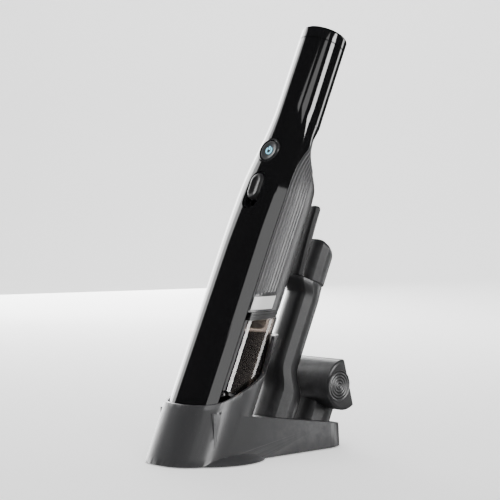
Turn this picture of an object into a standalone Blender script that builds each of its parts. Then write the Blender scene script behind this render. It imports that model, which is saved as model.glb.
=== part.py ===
"""Cordless hand vacuum standing in its charging dock, with a crevice tool and a pet tool on the dock's tray.

Metres, +Z up, front towards -Y, symmetric about X = 0. Origin: on the table, under the middle of the whole object.
The vacuum and both tools lean back on one direction and are built in a leaning frame (x, v, u): u runs up along the
lean, v runs rearwards across it, x stays X. The dock is built in an upright frame (x, y, z). Both frames start
where the vacuum's own axis meets the table.
"""

import math

import bmesh
import bpy
from mathutils import Matrix, Vector

# ---- driving dimensions ------------------------------------------------------------------------------------
LEAN = math.radians(24.6)
AXIS_FOOT_Y = -0.0784  # where the vacuum's axis meets the table
FIT = 0.0004  # between pieces that touch
SEAM = 0.0005  # open joint between outer skins
SLIDE_FIT = 0.0008  # between pieces that slide on each other
WALL = 0.0022
POWER = 2.45  # fullness of the body's rounded section: 2 is an ellipse

# vacuum body
HANDLE_RADIUS = 0.021
HANDLE_TOP_U = 0.409
CAP_HEIGHT = 0.012
CAP_FILLET = 0.0025
BODY_HALF_WIDTH = 0.031
BODY_FRONT = 0.0265
BODY_REAR = 0.0363
GRIP_WAIST_REAR = 0.0145
WAIST_U = 0.302
HUMP_U = 0.262
HANDLE_START_U = 0.330
FACET_START = math.radians(44.0)
FACET_END = math.radians(65.0)
SEAM_EDGE = math.radians(66.3)
SEAM_TURN_U = 0.250  # above this the seam swings round to the back
SEAM_TOP_U = 0.320
MOUTH_Z = 0.0100  # the nozzle's rim is level when docked
SHELL_FOOT_Z = 0.1270  # level joints between the shell, the collar and the cup
COLLAR_FOOT_Z = 0.1200
COLLAR_INSET = 0.0009
CUP_TOP_Z = COLLAR_FOOT_Z - FIT

# rear cover window, in section angle and u
WINDOW_ANGLE = math.radians(152.0)
WINDOW_FOOT_U = 0.172
WINDOW_TOP_U = 0.246
LATCH_WIDTH = 0.014
LATCH_HEIGHT = 0.010

# controls on the spine
BUTTON_U = 0.283
BUTTON_RADIUS = 0.0092
BUTTON_THICKNESS = 0.0045
BUTTON_TRAVEL = 0.0012
BUTTON_SUNK = 0.0004
BEZEL_WIDTH = 0.0024
BEZEL_DEPTH = 0.0050
LIGHT_RADIUS = 0.0034
SLOT_TOP_U = 0.2620
SLOT_LENGTH = 0.0370
SLOT_WIDTH = 0.0190
SLOT_DEPTH = 0.0052
SLIDER_LENGTH = 0.0250
SLIDER_WIDTH = 0.0155
ROD_WIDTH = 0.0040
ROD_THICKNESS = 0.0014
ROD_FOOT_U = 0.070

# dust cup and its door
CUP_FRONT_V = -0.0093
CUP_WALL = 0.0020
CUP_FOOT_U = 0.0640
STRIP_DEPTH = 0.0022
STRIP_RAKE = 0.0016  # the strip is this much narrower inside, clear of the spine's wall
DOOR_THICKNESS = 0.0024
DOOR_SEAL = 0.0014
HINGE_RADIUS = 0.0022
HINGE_PIN_RADIUS = 0.0011
HINGE_BEHIND = 0.0008  # axis behind the cup's front wall
HINGE_DROP = 0.0006  # axis below the door
KNUCKLE_LENGTH = 0.0056
HINGE_LUG = 0.0022
WINDOW_LOW_U = 0.0960
WINDOW_HIGH_U = 0.1130
INLET_HALF_WIDTH = 0.0150
FLAP_THICKNESS = 0.0014
FLAP_OVERLAP = 0.0020

# inlet duct behind the spine
DUCT_HALF_WIDTH = 0.0190
DUCT_DEPTH = 0.0088
DUCT_WALL = 0.0014
DUCT_TOP_U = 0.1160

# filter, motor, fan, battery
FILTER_RADIUS = 0.0185
FILTER_V = 0.0130
FILTER_HEIGHT = 0.0260
FILTER_PLATE_U = 0.1600
FILTER_PLATE_THICKNESS = 0.0024
WORKS_V = 0.0050  # the motor's axis sits this far behind the vacuum's axis
MOTOR_CASE_RADIUS = 0.0230
MOTOR_CASE_WALL = 0.0018
MOTOR_CASE_FOOT_U = 0.1790
MOTOR_CASE_HEIGHT = 0.0220
MOTOR_RADIUS = 0.0150
MOTOR_HEIGHT = 0.0340
MOTOR_FOOT_U = 0.1970
FAN_RADIUS = 0.0195
FAN_HEIGHT = 0.0080
FAN_BLADES = 9
SHAFT_RADIUS = 0.0016
BOARD_SIZE = (0.0260, 0.0016, 0.0440)
BOARD_V = -0.0085
CELL_RADIUS = 0.0091
CELL_LENGTH = 0.0650
CELL_FOOT_U = 0.3260
LABEL_TOP_Z = 0.1400
LABEL_FOOT_Z = 0.1290
LABEL_THICKNESS = 0.0005
LABEL_EDGE = math.radians(103.0)

# dock
DOCK_GAP = 0.0012  # between the vacuum and the dock's socket
DOCK_WALL = 0.0045
BOOT_WIDEN = 0.0040  # how far the boot stands outside the vacuum at each side
BOOT_FOOT_AHEAD = 0.0030
BOOT_RIM_AHEAD = 0.0040
BOOT_BEHIND = 0.0065
BOOT_FACET_START = math.radians(45.0)
BOOT_FACET_END = math.radians(59.0)
RIM_FRONT_Z = 0.0493
RIM_TURN_Y = 0.0070  # the rim turns here from level to a steady climb
RIM_TURN_RADIUS = 0.0140
RIM_SLOPE = 0.385
RIM_KICK_Y = 0.0660  # behind this it sweeps up steeply
RIM_KICK = 375.0
RIM_REAR_Z = 0.1050
FLOOR_Z = MOUTH_Z - FIT
FLOOR_THICKNESS = 0.0026
TRAY_HALF_WIDTH = 0.0350
TRAY_END_Y = 0.1740
TRAY_DECK_Z = 0.0444  # deck height at y = 0
TRAY_FALL = 0.147
TRAY_WALL = 0.0030
WING_CENTRE = (0.0200, 0.0240, -0.0040)
WING_RADII = (0.0310, 0.0440, 0.0130)
SHELL_FOOT = 0.0008  # the shell hangs this far over the table
PLATE_THICKNESS = 0.0020
FOOT_PAD_RADIUS = 0.0060
POST_HALF_WIDTH = 0.0135
POST_HALF_DEPTH = 0.0095
POST_HEIGHT = 0.0180
SOCKET_RADIUS = 0.0048
CHARGE_BOARD = (0.0300, 0.0400, 0.0016)
CONTACT_WIDTH = 0.0030
CONTACT_OFFSET = 0.0080

# tools on the tray
PLUG_HALF_WIDTH = 0.0200
PLUG_HALF_DEPTH = 0.0160
PLUG_WALL = 0.0026
PLUG_HEIGHT = 0.0200
CREVICE_V = 0.0810
CREVICE_TUBE_V = 0.0720
CREVICE_HALF_WIDTH = 0.0155
CREVICE_HALF_DEPTH = 0.0130
CREVICE_SHOULDER_U = 0.1945
SHOULDER_STEP = 0.0005
CREVICE_BEND_U = 0.1800  # above this the tube swells forward to the tip
CREVICE_TIP_U = 0.2620
TIP_HALF_WIDTH = 0.0060
TIP_HALF_DEPTH = 0.0038
TIP_V = 0.0535
TIP_WALL = 0.0014
BRUSH_V = 0.0740
BRUSH_HALF_WIDTH = 0.0150
BRUSH_HALF_DEPTH = 0.0110
BRUSH_FOOT_U = 0.1955
BRUSH_TOP_U = 0.2370
BRUSH_SLOPE = 0.50  # the holder's top falls this steeply to the rear
BRUSH_RIM = 0.0045
PET_V = 0.1250
PET_HALF_WIDTH = 0.0350
PET_HUB_Y = 0.1600  # the head's hub axis, in the upright frame
PET_HUB_Z = 0.0560
PET_MOUTH_TILT = math.radians(16.0)
PET_MOUTH_AHEAD = 0.0055  # from the hub axis to the mouth's plane
PET_HEAD_RADIUS = 0.0230
PET_WALL = 0.0025
PET_TILT = math.radians(15.0)
HUB_RADIUS = 0.0140
HUB_THICKNESS = 0.0012
HUB_SETBACK = 0.0090  # discs sit this far in front of the brush bar's axis

MATERIALS = {
    "gloss_black": ((0.006, 0.006, 0.007), 0.08, 0.0),
    "satin_grey": ((0.060, 0.060, 0.063), 0.42, 0.0),
    "smoke_clear": ((0.020, 0.014, 0.012), 0.06, 0.0),
    "matte_black": ((0.012, 0.012, 0.013), 0.50, 0.0),
    "dock_grey": ((0.065, 0.065, 0.068), 0.45, 0.0),
    "tool_grey": ((0.022, 0.022, 0.023), 0.35, 0.0),
    "rubber": ((0.010, 0.010, 0.010), 0.80, 0.0),
    "white_label": ((0.850, 0.850, 0.850), 0.40, 0.0),
    "light_blue": ((0.250, 0.650, 0.850), 0.30, 0.0),
    "steel": ((0.600, 0.600, 0.600), 0.30, 1.0),
    "brass": ((0.750, 0.550, 0.250), 0.30, 1.0),
    "board_green": ((0.020, 0.120, 0.050), 0.50, 0.0),
    "cell_wrap": ((0.080, 0.200, 0.450), 0.40, 0.0),
    "filter_foam": ((0.550, 0.550, 0.520), 0.90, 0.0),
    "bristle": ((0.030, 0.030, 0.032), 0.60, 0.0),
    "seal_grey": ((0.300, 0.300, 0.300), 0.60, 0.0),
}


# ---- frames, collections, materials ------------------------------------------------------------------------
def clear_scene():
    for obj in list(bpy.data.objects):
        bpy.data.objects.remove(obj, do_unlink=True)


def new_collection(name):
    collection = bpy.data.collections.new(name)
    bpy.context.scene.collection.children.link(collection)
    return collection


def new_frame(name, lean):
    frame = bpy.data.objects.new(name, None)
    frame.location = (0.0, AXIS_FOOT_Y, 0.0)
    frame.rotation_euler = (-lean, 0.0, 0.0)
    PARTS.objects.link(frame)
    return frame


def material(name):
    found = bpy.data.materials.get(name)
    if found:
        return found
    colour, roughness, metallic = MATERIALS[name]
    made = bpy.data.materials.new(name)
    made.use_nodes = True
    shader = made.node_tree.nodes["Principled BSDF"]
    shader.inputs["Base Color"].default_value = (*colour, 1.0)
    shader.inputs["Roughness"].default_value = roughness
    shader.inputs["Metallic"].default_value = metallic
    return made


# ---- meshes ------------------------------------------------------------------------------------------------
def add_object(name, bm, frame, finish=None, origin=(0.0, 0.0, 0.0), patch=False):
    """Makes an object from bm, with its origin at a point of its frame. Without a finish it is a cutter."""
    bmesh.ops.recalc_face_normals(bm, faces=bm.faces)
    if patch:
        face_away(bm)
    bmesh.ops.translate(bm, vec=-Vector(origin), verts=bm.verts)
    mesh = bpy.data.meshes.new(name)
    bm.to_mesh(mesh)
    bm.free()
    obj = bpy.data.objects.new(name, mesh)
    obj.parent = frame
    obj.location = origin
    if finish:
        mesh.materials.append(material(finish))
        mesh.shade_smooth()
        mesh.set_sharp_from_angle(angle=math.radians(35))
        PARTS.objects.link(obj)
    else:
        obj.hide_render = True
        obj.display_type = "WIRE"
        CUTTERS.objects.link(obj)
    return obj


def face_away(bm):
    """Turns an open patch so that its faces look away from the u axis."""
    outward = sum(face.normal.dot(Vector((*face.calc_center_median().xy, 0.0))) for face in bm.faces)
    if outward < 0.0:
        bmesh.ops.reverse_faces(bm, faces=bm.faces)


def boolean(obj, other, operation="DIFFERENCE", folded=False):
    """Cuts or joins. folded is for a wall whose faces touch each other in a tight corner."""
    step = obj.modifiers.new(operation.lower(), "BOOLEAN")
    step.operation = operation
    step.solver = "EXACT"
    step.use_self = folded
    step.object = other


def bevel(obj, width, segments=2, angle=40.0):
    step = obj.modifiers.new("bevel", "BEVEL")
    step.width = width
    step.segments = segments
    step.limit_method = "ANGLE"
    step.angle_limit = math.radians(angle)


def solidify(obj, thickness):
    step = obj.modifiers.new("wall", "SOLIDIFY")
    step.thickness = thickness
    step.offset = -1.0
    step.use_even_offset = True


def box(bm, low, high):
    made = bmesh.ops.create_cube(bm, size=1.0)["verts"]
    size = Vector(high) - Vector(low)
    middle = (Vector(high) + Vector(low)) / 2
    bmesh.ops.scale(bm, vec=size, verts=made)
    bmesh.ops.translate(bm, vec=middle, verts=made)
    return made


def cylinder(bm, centre, axis, radius, length, segments=32, top_radius=None):
    """A cylinder or cone from centre along axis."""
    turn = Vector((0, 0, 1)).rotation_difference(Vector(axis)).to_matrix().to_4x4()
    place = Matrix.Translation(Vector(centre)) @ turn @ Matrix.Translation((0, 0, length / 2))
    bmesh.ops.create_cone(
        bm,
        cap_ends=True,
        segments=segments,
        radius1=radius,
        radius2=radius if top_radius is None else top_radius,
        depth=length,
        matrix=place,
    )


def loft(bm, loops, closed_loops=True, caps=True):
    """Skins loops of equal length in order. Each loop is a list of points."""
    rows = [[bm.verts.new(point) for point in loop] for loop in loops]
    count = len(rows[0])
    for lower, upper in zip(rows, rows[1:]):
        for i in range(count if closed_loops else count - 1):
            j = (i + 1) % count
            bm.faces.new((lower[i], lower[j], upper[j], upper[i]))
    if caps:
        bm.faces.new(rows[0][::-1])
        bm.faces.new(rows[-1])
    return rows


def tube(bm, outer, inner):
    """A closed ring wall between two lofts of equal counts."""
    loft(bm, outer + inner[::-1] + [outer[0]], caps=False)
    bmesh.ops.remove_doubles(bm, verts=bm.verts, dist=1e-7)


def turned(name, profile, frame, finish, origin, steps=40):
    """A profile of (radius, height) points, top to bottom down the outer side, turned about the u or z axis."""
    bm = bmesh.new()
    points = [bm.verts.new((radius, 0.0, height)) for radius, height in profile]
    for first, second in zip(points, points[1:]):
        bm.edges.new((first, second))
    mesh = bpy.data.meshes.new(name)
    bm.to_mesh(mesh)
    bm.free()
    obj = bpy.data.objects.new(name, mesh)
    obj.parent = frame
    obj.location = origin
    mesh.materials.append(material(finish))
    PARTS.objects.link(obj)
    step = obj.modifiers.new("turn", "SCREW")
    step.steps = steps
    step.render_steps = steps
    step.use_merge_vertices = True
    step.merge_threshold = 1e-6
    step.use_smooth_shade = True
    return obj


# ---- the body's section ------------------------------------------------------------------------------------
def blend(value, start, end, first, last):
    """Eases from first at start to last at end."""
    t = min(max((value - start) / (end - start), 0.0), 1.0)
    return first + (last - first) * t * t * (3.0 - 2.0 * t)


def body_size(u):
    """Half width, front depth, rear depth and fullness of the body's section at u."""
    half_width = blend(u, SEAM_TURN_U - 0.012, HANDLE_START_U, BODY_HALF_WIDTH, HANDLE_RADIUS)
    front = blend(u, SEAM_TURN_U - 0.060, HANDLE_START_U, BODY_FRONT, HANDLE_RADIUS)
    if u < WAIST_U:
        rear = blend(u, HUMP_U, WAIST_U - 0.004, BODY_REAR, GRIP_WAIST_REAR)
    else:
        rear = blend(u, WAIST_U, HANDLE_START_U - 0.006, GRIP_WAIST_REAR, HANDLE_RADIUS)
    power = blend(u, SEAM_TURN_U, HANDLE_START_U, POWER, 2.0)
    return half_width, front, rear, power


def section_point(angle, half_width, front, rear, power):
    """A point of a superellipse: angle 0 is the front, 90 degrees is +x."""
    across, along = math.sin(angle), math.cos(angle)
    x = math.copysign(half_width * abs(across) ** (2 / power), across)
    depth = front if along > 0 else rear
    return x, math.copysign(depth * abs(along) ** (2 / power), -along)


def body_point(angle, u, inset=0.0):
    half_width, front, rear, power = body_size(u)
    x, v = section_point(angle, half_width - inset, front - inset, rear - inset, power)
    return Vector((x, v, u))


def oval(count, half_width, half_depth, v, power=POWER):
    """A closed oval loop in x and v."""
    angles = [2 * math.pi * i / count for i in range(count)]
    points = [section_point(angle, half_width, half_depth, half_depth, power) for angle in angles]
    return [(x, v + depth) for x, depth in points]


def level_u(z, v):
    """u of a level plane at height z."""
    return (z + v * math.sin(LEAN)) / math.cos(LEAN)


def deck_u(v, above=0.0):
    """u of the tray's sloping deck."""
    slope = math.cos(LEAN) + TRAY_FALL * math.sin(LEAN)
    return (TRAY_DECK_Z + above + v * (math.sin(LEAN) - TRAY_FALL * math.cos(LEAN))) / slope


def seam_angle(u):
    """The seam runs straight up the side, then swings round to the back on a quarter circle."""
    t = min(max((u - SEAM_TURN_U) / (SEAM_TOP_U - SEAM_TURN_U), 0.0), 1.0)
    return SEAM_EDGE + (math.pi - SEAM_EDGE) * (1.0 - math.sqrt(1.0 - t * t))


def rounded_rows(low, high):
    """Stations in u that crowd where the body changes fastest."""
    stations = (0.150, 0.200, 0.230, 0.250, 0.262, 0.270, 0.278, 0.286, 0.294, 0.302, 0.308, 0.313, 0.316, 0.318)
    return [u for u in stations if low + 0.002 < u < high - 0.0008]


# ---- the vacuum's skins ------------------------------------------------------------------------------------
def level_cut(obj, name, z):
    """Trims everything below a level height."""
    bm = bmesh.new()
    box(bm, (-0.1, -0.2, z - 0.2), (0.1, 0.3, z))
    boolean(obj, add_object(name, bm, DOCK), folded=True)


def front_housing():
    """Gloss spine and handle tube in one moulding. Its rear opening closes where the handle starts."""
    tube_stations = [SEAM_TOP_U, 0.325, HANDLE_START_U, 0.360, HANDLE_TOP_U - CAP_HEIGHT - FIT]
    stations = [0.045, 0.100] + rounded_rows(0.100, SEAM_TOP_U) + tube_stations
    front_angles = [FACET_START * i / 6 for i in range(7)] + [FACET_END]
    back_steps = 9

    def row(u):
        edge = seam_angle(u)
        step = (edge - FACET_END) / back_steps
        half = front_angles + [FACET_END + step * i for i in range(1, back_steps + 1)]
        return [-angle for angle in half[:0:-1]] + half

    rows = [[body_point(angle, u) for angle in row(u)] for u in stations]
    mouth = [Vector((p.x, p.y, level_u(MOUTH_Z, p.y) - WALL)) for p in rows[0]]
    bm = bmesh.new()
    loft(bm, [mouth] + rows, closed_loops=False, caps=False)
    bmesh.ops.remove_doubles(bm, verts=bm.verts, dist=1e-6)
    obj = add_object("front_housing", bm, VACUUM, "gloss_black", patch=True)
    solidify(obj, WALL)
    level_cut(obj, "mouth_cut", MOUTH_Z)
    bm = bmesh.new()
    cylinder(bm, (0, 0, BUTTON_U), (0, -1, 0), BUTTON_RADIUS + BEZEL_WIDTH + SLIDE_FIT, BODY_FRONT * 2, 40)
    boolean(obj, add_object("button_hole", bm, VACUUM))
    boolean(obj, slot_prism("slot_hole", SLOT_LENGTH, SLOT_WIDTH, SLOT_TOP_U, -BODY_FRONT * 2, -0.010, None))
    return obj


def slot_prism(name, length, width, top_u, low_v, high_v, finish, rise=0.0):
    """A stadium outline in x and u, run from low_v to high_v."""
    radius = width / 2
    upper, lower = top_u - radius, top_u - length + radius
    arc = [math.pi * i / 12 for i in range(13)]
    outline = [(radius * math.cos(a), upper + radius * math.sin(a)) for a in arc]
    outline += [(-radius * math.cos(a), lower - radius * math.sin(a)) for a in arc]
    bm = bmesh.new()
    loft(bm, [[(x, v, u + rise) for x, u in outline] for v in (low_v, high_v)])
    return add_object(name, bm, VACUUM, finish)


def skin_patch(name, angles, foot_z, stations, finish, inset=0.0, skip=None):
    """A walled patch of the body's skin, level at its foot. skip(point) leaves out the faces round a point."""
    rows = []
    for u in stations:
        rows.append([body_point(angle, u, inset) for angle in angles(u)])
    if foot_z is not None:
        foot = [Vector((p.x, p.y, level_u(foot_z, p.y) - WALL)) for p in rows[0]]
        rows.insert(0, foot)
    bm = bmesh.new()
    loft(bm, rows, closed_loops=False, caps=False)
    if skip:
        gone = []
        for face in bm.faces:
            middle = face.calc_center_median()
            if skip(middle):
                gone.append(face)
        bmesh.ops.delete(bm, geom=gone, context="FACES")
    obj = add_object(name, bm, VACUUM, finish, patch=True)
    solidify(obj, WALL)
    if foot_z is not None:
        level_cut(obj, name + "_foot_cut", foot_z)
    return obj


def in_window(point):
    """Whether a point of the skin is in the rear cover's window."""
    edge = abs(body_point(WINDOW_ANGLE, point.z).x)
    return WINDOW_FOOT_U < point.z < WINDOW_TOP_U and point.y > 0 and abs(point.x) < edge


def rear_shell():
    """Ribbed grey shell behind the spine, with a window for the rear cover."""

    def angles(u):
        first = seam_angle(u) + SEAM / body_size(u)[2]
        turn = max(WINDOW_ANGLE, (first + math.pi) / 2)
        side = [first + (turn - first) * i / 9 for i in range(9)]
        half = side + [turn + (math.pi - turn) * i / 3 for i in range(4)]
        return half + [2 * math.pi - angle for angle in half[-2::-1]]

    stations = [WINDOW_FOOT_U, 0.200, 0.225, WINDOW_TOP_U]
    stations += [u for u in rounded_rows(0.250, SEAM_TOP_U) if u > 0.251]
    return skin_patch("rear_shell", angles, SHELL_FOOT_Z, stations, "satin_grey", skip=in_window)


def rear_cover():
    """Cover over the motor, set in the shell's window. A notch at its foot takes the release latch."""
    edge = FIT / BODY_REAR
    first = WINDOW_ANGLE + edge * 2
    columns = [first + (2 * math.pi - 2 * first) * i / 6 for i in range(7)]
    stations = [WINDOW_FOOT_U + SEAM, 0.200, 0.225, WINDOW_TOP_U - SEAM]
    obj = skin_patch("rear_cover", lambda u: columns, None, stations, "satin_grey")
    half = LATCH_WIDTH / 2 + SLIDE_FIT
    bm = bmesh.new()
    low = (-half, 0.0, WINDOW_FOOT_U - 0.01)
    box(bm, low, (half, 0.06, WINDOW_FOOT_U + LATCH_HEIGHT + 2 * SLIDE_FIT))
    boolean(obj, add_object("latch_notch", bm, VACUUM))
    return obj


def release_latch():
    """Thumb latch in the rear cover's notch. Pressing it in frees the dust cup."""
    bm = bmesh.new()
    half = LATCH_WIDTH / 2
    rear = BODY_REAR + 0.0004
    foot = WINDOW_FOOT_U + SLIDE_FIT
    box(bm, (-half, rear - 0.0050, foot), (half, rear, foot + LATCH_HEIGHT))
    obj = add_object("cup_release_latch", bm, VACUUM, "matte_black", (0, rear, foot + LATCH_HEIGHT / 2))
    bevel(obj, 0.0006)
    return obj


def handle_cap():
    """Turned cap that plugs the handle's top."""
    top = HANDLE_TOP_U
    bottom = top - CAP_HEIGHT
    inner = HANDLE_RADIUS - WALL - FIT
    arc = [math.pi / 2 * i / 5 for i in range(6)]
    corner = HANDLE_RADIUS - CAP_FILLET
    profile = [(0.0, top)]
    profile += [(corner + CAP_FILLET * math.sin(a), top - CAP_FILLET + CAP_FILLET * math.cos(a)) for a in arc]
    profile += [(HANDLE_RADIUS, bottom), (inner, bottom), (inner, bottom - 0.005), (0.0, bottom - 0.005)]
    return turned("handle_end_cap", profile, VACUUM, "gloss_black", (0, 0, 0), 48)


def cup_angles():
    """Angles from the cup's front right corner round the back to its front left corner."""
    half_width, front, _rear, power = body_size(0.1)
    first = math.acos((-CUP_FRONT_V / front) ** (power / 2))
    steps = 26
    return [first + (2 * math.pi - 2 * first) * i / steps for i in range(steps + 1)]


def cup_loop(u_of, inset):
    """The cup's D section: the body's outline behind a flat front wall."""
    loop = []
    for angle in cup_angles():
        point = body_point(angle, 0.1, inset)
        v = max(point.y, CUP_FRONT_V + inset)
        loop.append(Vector((point.x, v, u_of(v))))
    return loop


def dust_cup():
    """Smoked clear cup, open at both ends, with the inlet's window in its flat front wall."""
    outer = [cup_loop(lambda v: CUP_FOOT_U, 0.0), cup_loop(lambda v: level_u(CUP_TOP_Z, v), 0.0)]
    inner = [cup_loop(lambda v: CUP_FOOT_U, CUP_WALL), cup_loop(lambda v: level_u(CUP_TOP_Z, v), CUP_WALL)]
    bm = bmesh.new()
    tube(bm, outer, inner)
    obj = add_object("dust_cup", bm, VACUUM, "smoke_clear")
    bm = bmesh.new()
    low = (-INLET_HALF_WIDTH, CUP_FRONT_V - 0.002, WINDOW_LOW_U)
    box(bm, low, (INLET_HALF_WIDTH, CUP_FRONT_V + CUP_WALL + 0.001, WINDOW_HIGH_U))
    boolean(obj, add_object("cup_window", bm, VACUUM))
    add_hinge_lugs(obj)
    return obj


def joint_collar():
    """Dark ring at the foot of the main body, over the cup's top edge."""

    def ring(z, inset):
        return cup_loop(lambda v: level_u(z, v), inset)

    inset, thick = COLLAR_INSET, COLLAR_INSET + 0.0032
    top = SHELL_FOOT_Z - FIT
    bm = bmesh.new()
    tube(bm, [ring(COLLAR_FOOT_Z, inset), ring(top, inset)], [ring(COLLAR_FOOT_Z, thick), ring(top, thick)])
    return add_object("joint_collar", bm, VACUUM, "matte_black")


def side_strip(side):
    """Ribbed rubber strip that closes the joint between spine and cup on one side."""
    half_width, front, _rear, power = body_size(0.1)
    start = math.acos(((-CUP_FRONT_V + SLIDE_FIT) / front) ** (power / 2))
    end = SEAM_EDGE + 1.2 * SEAM / half_width
    near, far = body_point(start, 0.1), body_point(end, 0.1)
    section = [near, far, far - Vector((STRIP_DEPTH, -STRIP_RAKE, 0)), near - Vector((STRIP_DEPTH, 0, 0))]
    rows = []
    for z in (None, COLLAR_FOOT_Z - FIT):
        row = [(side * (p.x - FIT), p.y, CUP_FOOT_U if z is None else level_u(z, p.y)) for p in section]
        rows.append([Vector(point) for point in row])
    bm = bmesh.new()
    loft(bm, rows)
    return add_object("side_strip_" + ("right" if side > 0 else "left"), bm, VACUUM, "seal_grey")


def label_plate():
    """Blank plate on the right of the shell, level along its top and foot."""
    rows = []
    half_width, front, rear, power = body_size(0.15)
    first = SEAM_EDGE + math.radians(3.0)
    last = LABEL_EDGE
    columns = [first + (last - first) * i / 6 for i in range(7)]
    for z in (LABEL_FOOT_Z, LABEL_TOP_Z):
        row = []
        for angle in columns:
            x, v = section_point(angle, half_width + FIT, front + FIT, rear + FIT, power)
            row.append(Vector((x, v, level_u(z, v))))
        rows.append(row)
    bm = bmesh.new()
    loft(bm, rows, closed_loops=False, caps=False)
    obj = add_object("label_plate", bm, VACUUM, "white_label", patch=True)
    step = obj.modifiers.new("wall", "SOLIDIFY")
    step.thickness = LABEL_THICKNESS
    step.offset = 1.0
    return obj


# ---- controls ----------------------------------------------------------------------------------------------
def button_face_v():
    return -body_size(BUTTON_U)[1]


def power_bezel():
    """Ring that lines the button's hole."""
    face = button_face_v() + BUTTON_SUNK
    outer, inner = BUTTON_RADIUS + BEZEL_WIDTH, BUTTON_RADIUS + SLIDE_FIT
    bm = bmesh.new()
    angles = [2 * math.pi * i / 36 for i in range(36)]

    def circle(radius, v):
        return [(radius * math.cos(a), v, BUTTON_U + radius * math.sin(a)) for a in angles]

    rear = face + BEZEL_DEPTH
    tube(bm, [circle(outer, face), circle(outer, rear)], [circle(inner, face), circle(inner, rear)])
    return add_object("power_bezel", bm, VACUUM, "gloss_black", (0, face, BUTTON_U))


def power_button():
    """Round push button with a hole for its light."""
    face = button_face_v() + BUTTON_SUNK
    bm = bmesh.new()
    cylinder(bm, (0, face, BUTTON_U), (0, 1, 0), BUTTON_RADIUS, BUTTON_THICKNESS, 36)
    obj = add_object("power_button", bm, VACUUM, "matte_black", (0, face, BUTTON_U))
    bm = bmesh.new()
    cylinder(bm, (0, face - 0.002, BUTTON_U), (0, 1, 0), LIGHT_RADIUS + FIT, 0.010, 24)
    boolean(obj, add_object("light_hole", bm, VACUUM))
    return obj


def power_light():
    """Light guide in the middle of the button."""
    face = button_face_v() + BUTTON_SUNK
    bm = bmesh.new()
    cylinder(bm, (0, face, BUTTON_U), (0, 1, 0), LIGHT_RADIUS, BUTTON_THICKNESS, 24)
    return add_object("power_light_guide", bm, VACUUM, "light_blue", (0, face, BUTTON_U))


def slot_face_v():
    return -body_size(SLOT_TOP_U - SLOT_LENGTH / 2)[1]


def slider_track():
    """Sunk dish that the dirt-eject slider runs in, with a slit for the slider's stem."""
    face = slot_face_v() + 0.0010
    fit = SLIDE_FIT
    track = slot_prism(
        "slider_track", SLOT_LENGTH - fit, SLOT_WIDTH - fit, SLOT_TOP_U - fit / 2,
        face, face + SLOT_DEPTH, "gloss_black",
    )
    dish = slot_prism(
        "track_dish", SLOT_LENGTH - 0.0026, SLOT_WIDTH - 0.0026, SLOT_TOP_U - 0.0013, face - 0.001,
        face + SLOT_DEPTH - 0.0012, None,
    )
    boolean(track, dish)
    rear = face + SLOT_DEPTH * 2
    stem = slot_prism("stem_slit", SLOT_LENGTH - 0.010, 0.0062, SLOT_TOP_U - 0.005, face, rear, None)
    boolean(track, stem)
    return track


def eject_slider():
    """Oval thumb slider with a stem through the track and a rod that runs down to the cup's door catch."""
    face = slot_face_v() + 0.0010
    cap_foot = face + SLOT_DEPTH - 0.0012 - FIT
    top = SLOT_TOP_U - 0.0013 - SLIDE_FIT
    slider = slot_prism(
        "eject_slider", SLIDER_LENGTH, SLIDER_WIDTH, top, face - 0.0016, cap_foot, "matte_black"
    )
    bevel(slider, 0.0012, 2, 60.0)
    stem_foot = face + SLOT_DEPTH + 0.0010 + ROD_THICKNESS
    middle = top - SLIDER_LENGTH / 2
    bm = bmesh.new()
    box(bm, (-0.0022, cap_foot - 0.001, middle - 0.003), (0.0022, stem_foot, middle + 0.003))
    boolean(slider, add_object("slider_stem", bm, VACUUM), "UNION")
    return slider


def eject_rod():
    """Flat rod clipped behind the slider's stem."""
    face = slot_face_v() + 0.0010
    back = face + SLOT_DEPTH + 0.0010 + ROD_THICKNESS + FIT
    top = SLOT_TOP_U - 0.0013 - SLIDE_FIT - SLIDER_LENGTH / 2 + 0.003
    inside = -BODY_FRONT + WALL + FIT
    turn_u = SLOT_TOP_U - SLOT_LENGTH - 0.012
    half = ROD_WIDTH / 2
    outline = [
        (back, top), (back + ROD_THICKNESS, top), (back + ROD_THICKNESS, turn_u + 0.004),
        (inside + ROD_THICKNESS, turn_u - 0.010), (inside + ROD_THICKNESS, ROD_FOOT_U), (inside, ROD_FOOT_U),
        (inside, turn_u - 0.010), (back, turn_u + 0.004),
    ]
    bm = bmesh.new()
    loft(bm, [[(x, v, u) for v, u in outline] for x in (-half, half)])
    return add_object("eject_rod", bm, VACUUM, "steel")


def control_board():
    width, thickness, height = BOARD_SIZE
    bm = bmesh.new()
    low = (-width / 2, BOARD_V, BUTTON_U - height / 2)
    box(bm, low, (width / 2, BOARD_V + thickness, BUTTON_U + height / 2))
    return add_object("control_board", bm, VACUUM, "board_green")


def button_switch():
    """Tactile switch between board and button."""
    rear = BOARD_V - FIT
    front = button_face_v() + BUTTON_SUNK + BUTTON_THICKNESS + BUTTON_TRAVEL + SLIDE_FIT
    bm = bmesh.new()
    box(bm, (-0.003, front + 0.001, BUTTON_U - 0.003), (0.003, rear, BUTTON_U + 0.003))
    obj = add_object("button_switch", bm, VACUUM, "matte_black")
    bm = bmesh.new()
    cylinder(bm, (0, front, BUTTON_U), (0, 1, 0), 0.0016, 0.002, 16)
    boolean(obj, add_object("switch_plunger", bm, VACUUM), "UNION")
    return obj


# ---- works inside the vacuum -------------------------------------------------------------------------------
def works_loop(radius, u, count=36, v=WORKS_V):
    angles = [2 * math.pi * i / count for i in range(count)]
    return [(radius * math.cos(a), v + radius * math.sin(a), u) for a in angles]


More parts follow.
